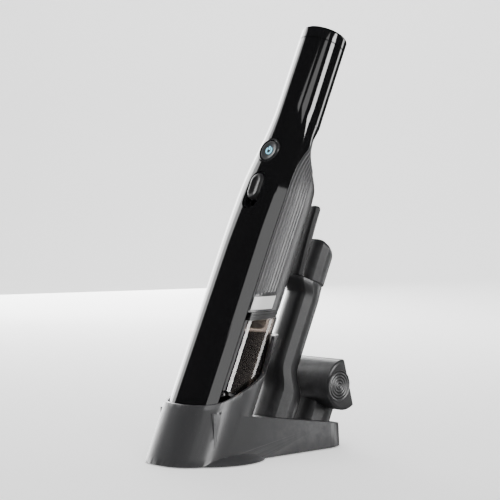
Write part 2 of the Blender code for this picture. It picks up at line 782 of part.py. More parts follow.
def motor_case():
    """Open-topped can that holds fan and motor, with an air hole in its floor."""
    foot, top = MOTOR_CASE_FOOT_U, MOTOR_CASE_FOOT_U + MOTOR_CASE_HEIGHT
    outer, inner = MOTOR_CASE_RADIUS, MOTOR_CASE_RADIUS - MOTOR_CASE_WALL
    hole = FAN_RADIUS * 0.6
    bm = bmesh.new()
    loops = [(hole, foot), (outer, foot), (outer, top), (inner, top), (inner, foot + MOTOR_CASE_WALL)]
    loops += [(hole, foot + MOTOR_CASE_WALL), (hole, foot)]
    loft(bm, [works_loop(radius, u) for radius, u in loops], caps=False)
    bmesh.ops.remove_doubles(bm, verts=bm.verts, dist=1e-7)
    return add_object("motor_case", bm, VACUUM, "matte_black")


def motor_seal():
    """Rubber ring that hangs the motor case in the body."""
    foot = MOTOR_CASE_FOOT_U + 0.010
    outer, inner = MOTOR_CASE_RADIUS + 0.0020, MOTOR_CASE_RADIUS + FIT
    bm = bmesh.new()
    top = foot + 0.006
    tube(bm, [works_loop(outer, foot), works_loop(outer, top)], [works_loop(inner, foot), works_loop(inner, top)])
    return add_object("motor_seal", bm, VACUUM, "rubber")


def motor():
    """Motor can with a bore for its shaft and three arms that stand on the case wall."""
    bm = bmesh.new()
    bore = SHAFT_RADIUS + SLIDE_FIT
    loops = [(bore, MOTOR_FOOT_U), (MOTOR_RADIUS, MOTOR_FOOT_U), (MOTOR_RADIUS, MOTOR_FOOT_U + MOTOR_HEIGHT)]
    loops += [(bore, MOTOR_FOOT_U + MOTOR_HEIGHT), (bore, MOTOR_FOOT_U)]
    loft(bm, [works_loop(radius, u, 30) for radius, u in loops], caps=False)
    bmesh.ops.remove_doubles(bm, verts=bm.verts, dist=1e-7)
    obj = add_object("motor", bm, VACUUM, "steel")
    reach = MOTOR_CASE_RADIUS - MOTOR_CASE_WALL - FIT
    for i in range(3):
        bm = bmesh.new()
        low = (MOTOR_RADIUS - 0.001, -0.002, MOTOR_FOOT_U + 0.001)
        arm = box(bm, low, (reach - 0.0002, 0.002, MOTOR_FOOT_U + 0.007))
        bmesh.ops.rotate(bm, cent=(0, 0, 0), matrix=Matrix.Rotation(2 * math.pi * i / 3, 3, "Z"), verts=arm)
        bmesh.ops.translate(bm, vec=(0, WORKS_V, 0), verts=arm)
        boolean(obj, add_object(f"motor_arm_{i + 1}", bm, VACUUM), "UNION")
    return obj


def fan_rotor():
    """Centrifugal fan on the motor's shaft."""
    foot = MOTOR_FOOT_U - 0.0035 - FAN_HEIGHT
    origin = (0, WORKS_V, foot)
    bm = bmesh.new()
    cylinder(bm, (0, WORKS_V, foot + FAN_HEIGHT - 0.0014), (0, 0, 1), FAN_RADIUS, 0.0014, 36)
    obj = add_object("fan_rotor", bm, VACUUM, "tool_grey", origin)
    shaft_foot = foot + 0.001
    bm = bmesh.new()
    shaft_length = MOTOR_FOOT_U + MOTOR_HEIGHT + 0.002 - shaft_foot
    cylinder(bm, (0, WORKS_V, shaft_foot), (0, 0, 1), SHAFT_RADIUS, shaft_length, 16)
    boolean(obj, add_object("motor_shaft", bm, VACUUM), "UNION")
    bm = bmesh.new()
    cylinder(bm, (0, WORKS_V, foot), (0, 0, 1), 0.005, FAN_HEIGHT, 20)
    boolean(obj, add_object("fan_boss", bm, VACUUM), "UNION")
    for i in range(FAN_BLADES):
        bm = bmesh.new()
        high = (FAN_RADIUS - 0.0006, 0.0005, foot + FAN_HEIGHT - 0.0007)
        blade = box(bm, (0.004, -0.0005, foot + 0.001), high)
        sweep = Matrix.Rotation(math.radians(24), 3, "Z")
        bmesh.ops.rotate(bm, cent=(0.004, 0, 0), matrix=sweep, verts=blade)
        turn = Matrix.Rotation(2 * math.pi * i / FAN_BLADES, 3, "Z")
        bmesh.ops.rotate(bm, cent=(0, 0, 0), matrix=turn, verts=blade)
        bmesh.ops.translate(bm, vec=(0, WORKS_V, 0), verts=blade)
        boolean(obj, add_object(f"fan_blade_{i + 1}", bm, VACUUM), "UNION")
    return obj


def filter_plate():
    """Plate across the body that the filter hangs from, with an air hole."""
    inset = WALL + FIT
    low, high = FILTER_PLATE_U, FILTER_PLATE_U + FILTER_PLATE_THICKNESS
    rim = [body_point(angle, 0.16, inset) for angle in cup_angles()]
    loops = []
    for u in (low, high):
        loops.append([Vector((p.x, max(p.y, CUP_FRONT_V + inset), u)) for p in rim])
    bm = bmesh.new()
    loft(bm, loops)
    obj = add_object("filter_plate", bm, VACUUM, "matte_black")
    bm = bmesh.new()
    cylinder(bm, (0, FILTER_V, low - 0.002), (0, 0, 1), FILTER_RADIUS * 0.75, 0.010, 28)
    boolean(obj, add_object("filter_hole", bm, VACUUM))
    return obj


def pleated_filter():
    """Pleated dust filter under the plate, closed at its foot."""
    pleats = 18
    top, foot = FILTER_PLATE_U - FIT, FILTER_PLATE_U - FIT - FILTER_HEIGHT
    loops = []
    for u in (foot, top):
        loop = []
        for i in range(pleats * 2):
            radius = FILTER_RADIUS - (0.0022 if i % 2 else 0.0)
            angle = math.pi * i / pleats
            loop.append((radius * math.cos(angle), FILTER_V + radius * math.sin(angle), u))
        loops.append(loop)
    bm = bmesh.new()
    loft(bm, loops)
    return add_object("pleated_filter", bm, VACUUM, "filter_foam")


def battery_cell(number, side):
    bm = bmesh.new()
    cylinder(bm, (side * (CELL_RADIUS + FIT / 2), 0, CELL_FOOT_U), (0, 0, 1), CELL_RADIUS, CELL_LENGTH, 24)
    return add_object(f"battery_cell_{number}", bm, VACUUM, "cell_wrap")


def battery_cradle():
    """Disc that the two cells stand on, with a hole for their leads."""
    foot = CELL_FOOT_U - FIT - 0.003
    bm = bmesh.new()
    cylinder(bm, (0, 0, foot), (0, 0, 1), HANDLE_RADIUS - WALL - FIT - 0.0004, 0.003, 32)
    obj = add_object("battery_cradle", bm, VACUUM, "matte_black")
    bm = bmesh.new()
    cylinder(bm, (0, 0, foot - 0.001), (0, 0, 1), 0.003, 0.006, 16)
    boolean(obj, add_object("lead_hole", bm, VACUUM))
    return obj


# ---- inlet, door and flap ----------------------------------------------------------------------------------
def inlet_duct():
    """Flat duct from the nozzle's mouth up to the cup's inlet window."""
    rear = CUP_FRONT_V - SLIDE_FIT
    front = rear - DUCT_DEPTH
    loops = []
    for inset, top in ((0.0, DUCT_TOP_U), (DUCT_WALL, DUCT_TOP_U - DUCT_WALL)):
        half = DUCT_HALF_WIDTH - inset
        corners = [(half, front + inset), (half, rear - inset), (-half, rear - inset), (-half, front + inset)]
        below = 0.0 if inset == 0.0 else -0.002
        foot = [(x, v, level_u(MOUTH_Z, v) + below) for x, v in corners]
        loops.append([foot, [(x, v, top) for x, v in corners]])
    bm = bmesh.new()
    loft(bm, loops[0])
    obj = add_object("inlet_duct", bm, VACUUM, "matte_black")
    bm = bmesh.new()
    loft(bm, loops[1])
    boolean(obj, add_object("duct_bore", bm, VACUUM))
    bm = bmesh.new()
    low = (-INLET_HALF_WIDTH, rear - DUCT_WALL - 0.001, WINDOW_LOW_U)
    box(bm, low, (INLET_HALF_WIDTH, rear + 0.001, WINDOW_HIGH_U))
    boolean(obj, add_object("duct_window", bm, VACUUM))
    return obj


def inlet_flap():
    """Rubber flap inside the cup that falls shut over the inlet window. It hinges on its top edge."""
    front = CUP_FRONT_V + CUP_WALL + FIT
    half = INLET_HALF_WIDTH + FLAP_OVERLAP
    top = WINDOW_HIGH_U + FLAP_OVERLAP
    bm = bmesh.new()
    box(bm, (-half, front, WINDOW_LOW_U - FLAP_OVERLAP), (half, front + FLAP_THICKNESS, top))
    return add_object("inlet_flap", bm, VACUUM, "rubber", (0, front, top))


def hinge_point():
    """v and u of the cup door's hinge axis: under the cup's front wall."""
    return CUP_FRONT_V + HINGE_BEHIND, CUP_FOOT_U - FIT - DOOR_THICKNESS - HINGE_DROP


def lug_x():
    """Inner face of the cup's hinge lugs."""
    return DUCT_HALF_WIDTH + SLIDE_FIT + KNUCKLE_LENGTH + FIT


def hinge_bore(name):
    v, u = hinge_point()
    reach = lug_x() + HINGE_LUG + 0.002
    bm = bmesh.new()
    cylinder(bm, (-reach, v, u), (1, 0, 0), HINGE_PIN_RADIUS + FIT, 2 * reach, 16)
    return add_object(name, bm, VACUUM)


def add_hinge_lugs(cup):
    """Two lugs under the cup's front wall that hold the pin's ends."""
    v, u = hinge_point()
    for side in (-1, 1):
        bm = bmesh.new()
        xs = sorted((side * lug_x(), side * (lug_x() + HINGE_LUG)))
        box(bm, (xs[0], v - 0.0008, u), (xs[1], v + HINGE_RADIUS, CUP_FOOT_U + 0.001))
        boolean(cup, add_object(f"lug_{side}", bm, VACUUM), "UNION")
        bm = bmesh.new()
        cylinder(bm, (xs[0], v, u), (1, 0, 0), HINGE_RADIUS, HINGE_LUG, 20)
        boolean(cup, add_object(f"lug_end_{side}", bm, VACUUM), "UNION")
    boolean(cup, hinge_bore("lug_bore"))


def door_loop(u, inset):
    return cup_loop(lambda v: u, inset)


def cup_door():
    """Bottom door of the dust cup, with a hinge knuckle on each side of the duct."""
    v, u = hinge_point()
    top = CUP_FOOT_U - FIT
    bm = bmesh.new()
    loft(bm, [door_loop(top - DOOR_THICKNESS, 0.0004), door_loop(top, 0.0004)])
    door = add_object("cup_door", bm, VACUUM, "matte_black", (0, v, u))
    for side in (-1, 1):
        near, far = side * (lug_x() - FIT - KNUCKLE_LENGTH), side * (lug_x() - FIT)
        bm = bmesh.new()
        cylinder(bm, (min(near, far), v, u), (1, 0, 0), HINGE_RADIUS, KNUCKLE_LENGTH, 20)
        boolean(door, add_object(f"door_knuckle_{side}", bm, VACUUM), "UNION")
    for side in (-1, 1):
        bm = bmesh.new()
        xs = sorted((side * (lug_x() - FIT / 2), side * (lug_x() + HINGE_LUG + 0.004)))
        box(bm, (xs[0], v - 0.004, u - 0.003), (xs[1], v + HINGE_RADIUS + SLIDE_FIT, CUP_FOOT_U))
        boolean(door, add_object(f"lug_room_{side}", bm, VACUUM))
    boolean(door, hinge_bore("door_bore"))
    return door


def hinge_pin():
    """Pin of the door's hinge, held in the cup's lugs."""
    v, u = hinge_point()
    reach = lug_x() + HINGE_LUG
    bm = bmesh.new()
    cylinder(bm, (-reach, v, u), (1, 0, 0), HINGE_PIN_RADIUS, 2 * reach, 16)
    return add_object("door_hinge_pin", bm, VACUUM, "steel", (0, v, u))


def door_seal():
    """Rubber ring on the door's top face, inside the cup's wall."""
    low, high = CUP_FOOT_U, CUP_FOOT_U + DOOR_SEAL
    inset, thick = CUP_WALL + 0.0012, CUP_WALL + 0.0026
    bm = bmesh.new()
    tube(bm, [door_loop(low, inset), door_loop(high, inset)], [door_loop(low, thick), door_loop(high, thick)])
    v, u = hinge_point()
    return add_object("door_seal", bm, VACUUM, "rubber", (0, v, u))


# ---- dock --------------------------------------------------------------------------------------------------
def boot_angles():
    """Angles round the boot, with a flat facet at each front corner that echoes the vacuum's."""
    front = [BOOT_FACET_START * i / 5 for i in range(1, 6)]
    half = front + [BOOT_FACET_END + (math.pi - BOOT_FACET_END) * i / 13 for i in range(13)]
    return [0.0] + half + [math.pi] + [2 * math.pi - angle for angle in reversed(half)]


def upright_loop(z, half_width, front_y, rear_y):
    """A horizontal loop round the leaning axis at height z."""
    centre = z * math.tan(LEAN)
    loop = []
    for angle in boot_angles():
        x, y = section_point(angle, half_width, centre - front_y, rear_y - centre, POWER)
        loop.append(Vector((x, centre + y, z)))
    return loop


def vacuum_front_y(z):
    """Where the vacuum's front line crosses height z, in the upright frame."""
    return z * math.tan(LEAN) - BODY_FRONT / math.cos(LEAN)


def vacuum_rear_y(z):
    return z * math.tan(LEAN) + BODY_REAR / math.cos(LEAN)


def boot_loop(z):
    t = z / RIM_FRONT_Z
    ahead = BOOT_FOOT_AHEAD + (BOOT_RIM_AHEAD - BOOT_FOOT_AHEAD) * min(t, 1.0)
    rear = vacuum_rear_y(z) + BOOT_BEHIND
    return upright_loop(z, BODY_HALF_WIDTH + BOOT_WIDEN, vacuum_front_y(z) - ahead, rear)


def deck_z(y):
    return TRAY_DECK_Z - TRAY_FALL * y


def tray_outline(half_width, front_y, end_y, z_of, steps=14):
    """A stadium with a round rear end, seen from above."""
    centre = end_y - half_width
    points = [(-half_width, front_y), (half_width, front_y)]
    points += [
        (half_width * math.cos(math.pi * i / steps), centre + half_width * math.sin(math.pi * i / steps))
        for i in range(steps + 1)
    ]
    return [Vector((x, y, z_of(y))) for x, y in points]


def rim_z(y):
    """Height of the boot's rim: level at the front, a steady climb, then a sweep up behind."""
    run = y - RIM_TURN_Y
    climb = RIM_SLOPE * (math.hypot(run, RIM_TURN_RADIUS) + run) / 2
    return RIM_FRONT_Z + climb + RIM_KICK * max(y - RIM_KICK_Y, 0.0) ** 2


def rim_cutter():
    """Everything above the boot's rim."""
    low, high = -0.060, 0.110
    steps = 40
    stations = [low + (high - low) * i / steps for i in range(steps + 1)]
    points = [(y, rim_z(y)) for y in stations] + [(high, 2.0), (low, 2.0)]
    bm = bmesh.new()
    loft(bm, [[(x, y, z) for y, z in points] for x in (-0.080, 0.080)])
    return add_object("rim_cutter", bm, DOCK)


def post(v, name):
    """Upright peg that a tool plugs onto, leaning with the tool."""
    bm = bmesh.new()
    foot = [(x, d, deck_u(d, -0.004)) for x, d in oval(24, POST_HALF_WIDTH, POST_HALF_DEPTH, v)]
    head = oval(24, POST_HALF_WIDTH - 0.001, POST_HALF_DEPTH - 0.001, v)
    top = [(x, d, deck_u(d, POST_HEIGHT)) for x, d in head]
    loft(bm, [foot, top])
    return add_object(name, bm, VACUUM)


def dock_socket_cutter():
    """The vacuum's seat in the boot: the body's section with a working gap, down to the floor."""
    loops = []
    for foot in (True, False):
        loop = []
        for i in range(44):
            angle = 2 * math.pi * i / 44
            half_width, front, rear, power = body_size(0.08)
            x, v = section_point(angle, half_width + DOCK_GAP, front + DOCK_GAP, rear + DOCK_GAP, power)
            loop.append((x, v, level_u(FLOOR_Z, v) if foot else 0.200))
        loops.append(loop)
    bm = bmesh.new()
    loft(bm, loops)
    return add_object("dock_socket_cutter", bm, VACUUM)


def tray_hollow():
    """The tray's hollow underside."""
    half = TRAY_HALF_WIDTH - TRAY_WALL
    front = vacuum_rear_y(TRAY_DECK_Z) + DOCK_GAP + TRAY_WALL
    end = TRAY_END_Y - TRAY_WALL
    bm = bmesh.new()
    loft(bm, [
        tray_outline(half, front, end, lambda y: -0.010),
        tray_outline(half - 0.0008, front, end - 0.0008, lambda y: deck_z(y) - TRAY_WALL),
    ])
    return add_object("tray_hollow", bm, DOCK)


def plate_outline(inset, z):
    """Outline of the base plate: the boot's foot and the tray's foot in one stadium."""
    half = TRAY_HALF_WIDTH - TRAY_WALL - inset
    front = vacuum_front_y(0.0) + DOCK_WALL + inset
    centre_front = front + half
    end = TRAY_END_Y - TRAY_WALL - inset - half
    steps = 12
    points = []
    for i in range(steps + 1):
        angle = math.pi * i / steps
        points.append((half * math.cos(angle), end + half * math.sin(angle)))
    for i in range(steps + 1):
        angle = math.pi * i / steps
        points.append((-half * math.cos(angle), centre_front - half * math.sin(angle)))
    return [Vector((x, y, z)) for x, y in points]


def dock_shell():
    """Boot, tray and side wings in one moulding, with two pegs and the vacuum's socket."""
    bm = bmesh.new()
    loft(bm, [boot_loop(z) for z in (SHELL_FOOT, RIM_FRONT_Z / 2, RIM_FRONT_Z, RIM_REAR_Z)])
    shell = add_object("dock_shell", bm, DOCK, "dock_grey")
    boolean(shell, rim_cutter())
    bm = bmesh.new()
    half, front = TRAY_HALF_WIDTH, 0.0
    loft(bm, [
        tray_outline(half, front, TRAY_END_Y, lambda y: SHELL_FOOT),
        tray_outline(half - 0.0010, front, TRAY_END_Y - 0.0010, deck_z),
    ])
    boolean(shell, add_object("tray_body", bm, DOCK), "UNION")
    for side in (-1, 1):
        bm = bmesh.new()
        bmesh.ops.create_uvsphere(bm, u_segments=36, v_segments=24, radius=1.0)
        bmesh.ops.scale(bm, vec=WING_RADII, verts=bm.verts)
        bmesh.ops.translate(bm, vec=(side * WING_CENTRE[0], WING_CENTRE[1], WING_CENTRE[2]), verts=bm.verts)
        boolean(shell, add_object(f"wing_{side}", bm, DOCK), "UNION")
    bm = bmesh.new()
    box(bm, (-0.1, -0.1, -0.05), (0.1, 0.2, SHELL_FOOT))
    boolean(shell, add_object("table_cutter", bm, DOCK))
    boolean(shell, dock_socket_cutter())
    for name, v in (("crevice_peg", CREVICE_V), ("pet_peg", PET_V)):
        boolean(shell, post(v, name), "UNION")
    boolean(shell, tray_hollow())
    bm = bmesh.new()
    loft(bm, [plate_outline(0.0, -0.01), plate_outline(0.0, FLOOR_Z - FLOOR_THICKNESS)])
    boolean(shell, add_object("base_recess", bm, DOCK))
    bm = bmesh.new()
    z = SOCKET_RADIUS + 0.0060
    cylinder(bm, (0, TRAY_END_Y - 0.010, z), (0, 1, 0), SOCKET_RADIUS + FIT, 0.020, 24)
    boolean(shell, add_object("power_hole", bm, DOCK))
    for side in (-1, 1):
        boolean(shell, contact_pin(side, FIT, None))
    return shell


def base_plate():
    """Plate that closes the dock's underside."""
    low, high = SHELL_FOOT + FIT, SHELL_FOOT + FIT + PLATE_THICKNESS
    bm = bmesh.new()
    loft(bm, [plate_outline(FIT, low), plate_outline(FIT, high)])
    plate = add_object("dock_base_plate", bm, DOCK, "matte_black")
    for number, (x, y) in enumerate(pad_places(), 1):
        bm = bmesh.new()
        cylinder(bm, (x, y, low - 0.001), (0, 0, 1), FOOT_PAD_RADIUS + FIT, 0.001 + 0.0012, 24)
        boolean(plate, add_object(f"pad_seat_{number}", bm, DOCK))
    return plate


def pad_places():
    """Middles of the four rubber feet."""
    x = TRAY_HALF_WIDTH - TRAY_WALL - FOOT_PAD_RADIUS - 0.004
    front, rear = vacuum_front_y(0.0) + 0.024, TRAY_END_Y - 0.026
    return [(-x, front), (x, front), (-x, rear), (x, rear)]


def foot_pad(number, x, y):
    """Rubber foot let into the base plate. The dock stands on four."""
    top = SHELL_FOOT + FIT + 0.0012 - FIT
    bm = bmesh.new()
    cylinder(bm, (x, y, 0.0), (0, 0, 1), FOOT_PAD_RADIUS, top, 24)
    return add_object(f"dock_foot_{number}", bm, DOCK, "rubber")


def contact_pin(side, grow, finish):
    """Spring contact that rises through the socket's floor to meet the nozzle's charging contact."""
    y = FLOOR_Z * math.tan(LEAN) + (CUP_FRONT_V - SLIDE_FIT - DUCT_WALL / 2) / math.cos(LEAN)
    half = CONTACT_WIDTH / 2 + grow
    x = side * CONTACT_OFFSET
    foot = FLOOR_Z - FLOOR_THICKNESS - 0.0015 if finish else FLOOR_Z - 0.020
    top = FLOOR_Z - FIT if finish else FLOOR_Z + 0.001
    bm = bmesh.new()
    box(bm, (x - half, y - 0.0006 - grow, foot), (x + half, y + 0.0006 + grow, top))
    name = "dock_contact_" + ("right" if side > 0 else "left") if finish else f"contact_hole_{side}"
    return add_object(name, bm, DOCK, finish)


def charge_board():
    """Charging board over the base plate."""
    width, length, thickness = CHARGE_BOARD
    low = SHELL_FOOT + 2 * FIT + PLATE_THICKNESS + 0.0010
    end = TRAY_END_Y - 0.040
    bm = bmesh.new()
    box(bm, (-width / 2, end - length, low), (width / 2, end, low + thickness))
    return add_object("charging_board", bm, DOCK, "board_green")


def power_socket():
    """Low-voltage socket in the dock's back."""
    z = SOCKET_RADIUS + 0.0060
    bm = bmesh.new()
    cylinder(bm, (0, TRAY_END_Y - 0.0160, z), (0, 1, 0), SOCKET_RADIUS, 0.0150, 24)
    obj = add_object("power_socket", bm, DOCK, "matte_black")
    bm = bmesh.new()
    cylinder(bm, (0, TRAY_END_Y - 0.0120, z), (0, 1, 0), SOCKET_RADIUS * 0.6, 0.0150, 20)
    boolean(obj, add_object("power_bore", bm, DOCK))
    bm = bmesh.new()
    cylinder(bm, (0, TRAY_END_Y - 0.0130, z), (0, 1, 0), SOCKET_RADIUS * 0.2, 0.0110, 12)
    boolean(obj, add_object("power_pin", bm, DOCK), "UNION")
    return obj


# ---- tools -------------------------------------------------------------------------------------------------
def plug_loops(stations):
    """Loops of a tool's body in the leaning frame: (u or None for the deck, v, half width, half depth)."""
    loops = []
    for u, centre, half_width, half_depth in stations:
        ring = oval(32, half_width, half_depth, centre)
        loops.append([Vector((x, d, deck_u(d, FIT) if u is None else u)) for x, d in ring])
    return loops


def crevice_stations():
    """Foot to tip: the plug, the straight tube, its swell at the shoulder and the narrow tip."""
    plug_top = deck_u(CREVICE_V, PLUG_HEIGHT)
    width, depth = CREVICE_HALF_WIDTH, CREVICE_HALF_DEPTH
    swell = (CREVICE_TUBE_V - depth - TIP_V + TIP_HALF_DEPTH) / 2
    return [
        (None, CREVICE_V, PLUG_HALF_WIDTH, PLUG_HALF_DEPTH),
        (plug_top, CREVICE_V, PLUG_HALF_WIDTH, PLUG_HALF_DEPTH),
        (plug_top + 0.012, CREVICE_V - 0.004, PLUG_HALF_WIDTH - 0.002, PLUG_HALF_DEPTH - 0.0012),
        (plug_top + 0.026, CREVICE_TUBE_V, width, depth),
        (CREVICE_BEND_U, CREVICE_TUBE_V, width, depth),
        (CREVICE_SHOULDER_U - SHOULDER_STEP, CREVICE_TUBE_V - swell, width, depth + swell),
        (CREVICE_SHOULDER_U, TIP_V, TIP_HALF_WIDTH + 0.005, TIP_HALF_DEPTH),
        (CREVICE_SHOULDER_U + 0.022, TIP_V, TIP_HALF_WIDTH + 0.002, TIP_HALF_DEPTH),
        (CREVICE_TIP_U, TIP_V, TIP_HALF_WIDTH, TIP_HALF_DEPTH),
    ]


def crevice_body():
    """Crevice tool: a plug that fits over the nozzle, a straight tube and a narrow tip in front."""
    stations = crevice_stations()
    bm = bmesh.new()
    loft(bm, plug_loops(stations))
    obj = add_object("crevice_tool", bm, VACUUM, "tool_grey")
    bore = []
    for u, v, half_width, half_depth in stations:
        wall = PLUG_WALL if half_depth > TIP_HALF_DEPTH else TIP_WALL
        if u is None:
            u = deck_u(v) - 0.012
        elif u == CREVICE_SHOULDER_U - SHOULDER_STEP:
            u, v, half_depth = u - 0.006, CREVICE_TUBE_V, CREVICE_HALF_DEPTH
        elif u == CREVICE_TIP_U:
            u += 0.003
        bore.append((u, v, half_width - wall, half_depth - wall))
    bm = bmesh.new()
    loft(bm, plug_loops(bore))
    boolean(obj, add_object("crevice_bore", bm, VACUUM))
    return obj


def brush_loop(u, inset, sloped):
    """A loop of the brush holder, level or falling to the rear."""
    ring = oval(28, BRUSH_HALF_WIDTH - inset, BRUSH_HALF_DEPTH - inset, BRUSH_V)
    front = BRUSH_V - BRUSH_HALF_DEPTH
    return [Vector((x, d, u - (BRUSH_SLOPE * (d - front) if sloped else 0.0))) for x, d in ring]


def brush_slide():
    """Duster brush holder on the crevice tool's shoulder. It slides up round the tip."""
    foot, top = BRUSH_FOOT_U, BRUSH_TOP_U
    bm = bmesh.new()
    crown = ((0.006, 0.0), (0.0022, 0.0012), (0.0, 0.0040))
    rounded = [brush_loop(top - drop, inset, True) for drop, inset in crown]
    loft(bm, [brush_loop(foot, 0.0, False)] + rounded)
    obj = add_object("brush_slide", bm, VACUUM, "tool_grey", (0, BRUSH_V, foot))
    bm = bmesh.new()
    loft(bm, [brush_loop(foot + 0.010, BRUSH_RIM, False), brush_loop(top + 0.002, BRUSH_RIM, False)])
    boolean(obj, add_object("brush_mouth", bm, VACUUM))
    return obj


def duster_bristles():
    """Tuft block in the brush holder, trimmed just under the holder's sloping rim."""
    foot = BRUSH_FOOT_U + 0.010 + FIT
    inset = BRUSH_RIM + FIT
    bm = bmesh.new()
    loft(bm, [brush_loop(foot, inset, False), brush_loop(BRUSH_TOP_U - 0.0015, inset, True)])
    return add_object("duster_bristles", bm, VACUUM, "bristle", (0, BRUSH_V, foot))


def pet_profile():
    """Head's outline in y and z: a round back and a flat mouth that faces up and rearwards."""
    start = math.acos(PET_MOUTH_AHEAD / PET_HEAD_RADIUS)
    steps = 22
    points = []
    for i in range(steps + 1):
        angle = PET_MOUTH_TILT + start + (2 * math.pi - 2 * start) * i / steps
        y, z = PET_HEAD_RADIUS * math.cos(angle), PET_HEAD_RADIUS * math.sin(angle)
        points.append((PET_HUB_Y + y, PET_HUB_Z + z))
    return points


def pet_head():
    """Wide head of the pet tool, open at its mouth, on a neck that plugs onto the peg."""
    half = PET_HALF_WIDTH
    bm = bmesh.new()
    loft(bm, [[(x, y, z) for y, z in pet_profile()] for x in (-half, half)])
    head = add_object("pet_tool_head", bm, DOCK, "tool_grey")
    plug_top = deck_u(PET_V, PLUG_HEIGHT)
    neck_top = plug_top + 0.012
    bm = bmesh.new()
    loft(bm, plug_loops([
        (None, PET_V, PLUG_HALF_WIDTH, PLUG_HALF_DEPTH),
        (plug_top - 0.004, PET_V, PLUG_HALF_WIDTH, PLUG_HALF_DEPTH),
        (neck_top, PET_V - 0.004, PLUG_HALF_WIDTH + 0.003, PLUG_HALF_DEPTH - 0.004),
    ]))
    boolean(head, add_object("pet_neck", bm, VACUUM), "UNION")
    bm = bmesh.new()
    normal = Vector((0.0, math.cos(PET_MOUTH_TILT), math.sin(PET_MOUTH_TILT)))
    across = Vector((0.0, -normal.z, normal.y))
    hub = Vector((0.0, PET_HUB_Y, PET_HUB_Z))
    face = hub + normal * PET_MOUTH_AHEAD
    tall = math.sqrt(PET_HEAD_RADIUS ** 2 - PET_MOUTH_AHEAD ** 2) - PET_WALL
    inner = half - PET_WALL
    deep = PET_MOUTH_AHEAD + PET_HEAD_RADIUS - PET_WALL
    corners = []
    upper = [(0.003, tall), (-deep * 0.55, tall), (-deep, tall * 0.45)]
    for depth, height in upper + [(depth, -height) for depth, height in reversed(upper)]:
        corners.append(face + normal * depth + across * height)
    loft(bm, [[Vector((x, p.y, p.z)) for p in corners] for x in (-inner, inner)])
    boolean(head, add_object("pet_cavity", bm, DOCK))
    bm = bmesh.new()
    loft(bm, plug_loops([
        (deck_u(PET_V) - 0.014, PET_V, PLUG_HALF_WIDTH - PLUG_WALL, PLUG_HALF_DEPTH - PLUG_WALL),
        (plug_top - 0.004, PET_V, PLUG_HALF_WIDTH - PLUG_WALL, PLUG_HALF_DEPTH - PLUG_WALL),
        (neck_top + 0.002, PET_V - 0.004, PLUG_HALF_WIDTH, PLUG_HALF_DEPTH - 0.004 - PLUG_WALL),
    ]))
    boolean(head, add_object("pet_bore", bm, VACUUM))
    return head


def pet_hub_cap(side):
    """Rippled disc on the head's cheek."""
    near = side * (PET_HALF_WIDTH + FIT)
    far = side * (PET_HALF_WIDTH + FIT + HUB_THICKNESS)
    bm = bmesh.new()
    radius = HUB_RADIUS
    centre = (min(near, far), PET_HUB_Y - HUB_SETBACK, PET_HUB_Z)
    cylinder(bm, centre, (1, 0, 0), radius, HUB_THICKNESS, 32)
    return add_object("pet_hub_cap_" + ("right" if side > 0 else "left"), bm, DOCK, "tool_grey")


def pet_brush_bar():
    """Bar that rocks on the hub axis inside the head, carrying two bristle strips."""
    half = PET_HALF_WIDTH - PET_WALL - SLIDE_FIT
    bm = bmesh.new()
    cylinder(bm, (-half, PET_HUB_Y, PET_HUB_Z), (1, 0, 0), 0.0060, 2 * half, 24)
    return add_object("pet_brush_bar", bm, DOCK, "matte_black", (0, PET_HUB_Y, PET_HUB_Z))


def pet_bristle_strip(number, angle):
    """Row of bristles on the brush bar."""
    half = PET_HALF_WIDTH - PET_WALL - 0.004
    bm = bmesh.new()
    made = box(bm, (-half, 0.0060 + FIT, -0.0012), (half, 0.0060 + FIT + 0.0040, 0.0012))
    bmesh.ops.rotate(bm, cent=(0, 0, 0), matrix=Matrix.Rotation(angle, 3, "X"), verts=made)
    bmesh.ops.translate(bm, vec=(0, PET_HUB_Y, PET_HUB_Z), verts=made)
    return add_object(f"pet_bristles_{number}", bm, DOCK, "bristle", (0, PET_HUB_Y, PET_HUB_Z))


# ---- the whole object --------------------------------------------------------------------------------------
def make_vacuum():
    front_housing()
    rear_shell()
    rear_cover()
    release_latch()
    handle_cap()
    joint_collar()
    label_plate()
    power_bezel()
    power_button()
    power_light()
    slider_track()
    eject_slider()
    eject_rod()
    control_board()
    button_switch()
    for side in (-1, 1):
        side_strip(side)
    dust_cup()
    cup_door()
    hinge_pin()
    door_seal()
    inlet_flap()
    inlet_duct()
    motor_case()
    motor_seal()
    motor()
    fan_rotor()
    filter_plate()
    pleated_filter()
    battery_cradle()
    for number, side in ((1, -1), (2, 1)):
        battery_cell(number, side)


def make_dock():
    dock_shell()
    base_plate()
    for number, (x, y) in enumerate(pad_places(), 1):
        foot_pad(number, x, y)
    for side in (-1, 1):
        contact_pin(side, 0.0, "brass")
    charge_board()
    power_socket()


def make_tools():
    crevice_body()
    brush_slide()
    duster_bristles()
    pet_head()
    for side in (-1, 1):
        pet_hub_cap(side)
    pet_brush_bar()
    for number, angle in ((1, PET_MOUTH_TILT + PET_TILT), (2, PET_MOUTH_TILT - PET_TILT)):
        pet_bristle_strip(number, angle)


clear_scene()
PARTS = new_collection("hand_vacuum")
CUTTERS = new_collection("cutters")
VACUUM = new_frame("leaning_frame", LEAN)
DOCK = new_frame("upright_frame", 0.0)
make_vacuum()
make_dock()
make_tools()
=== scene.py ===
import math

import bmesh
import bpy
from mathutils import Matrix, Vector


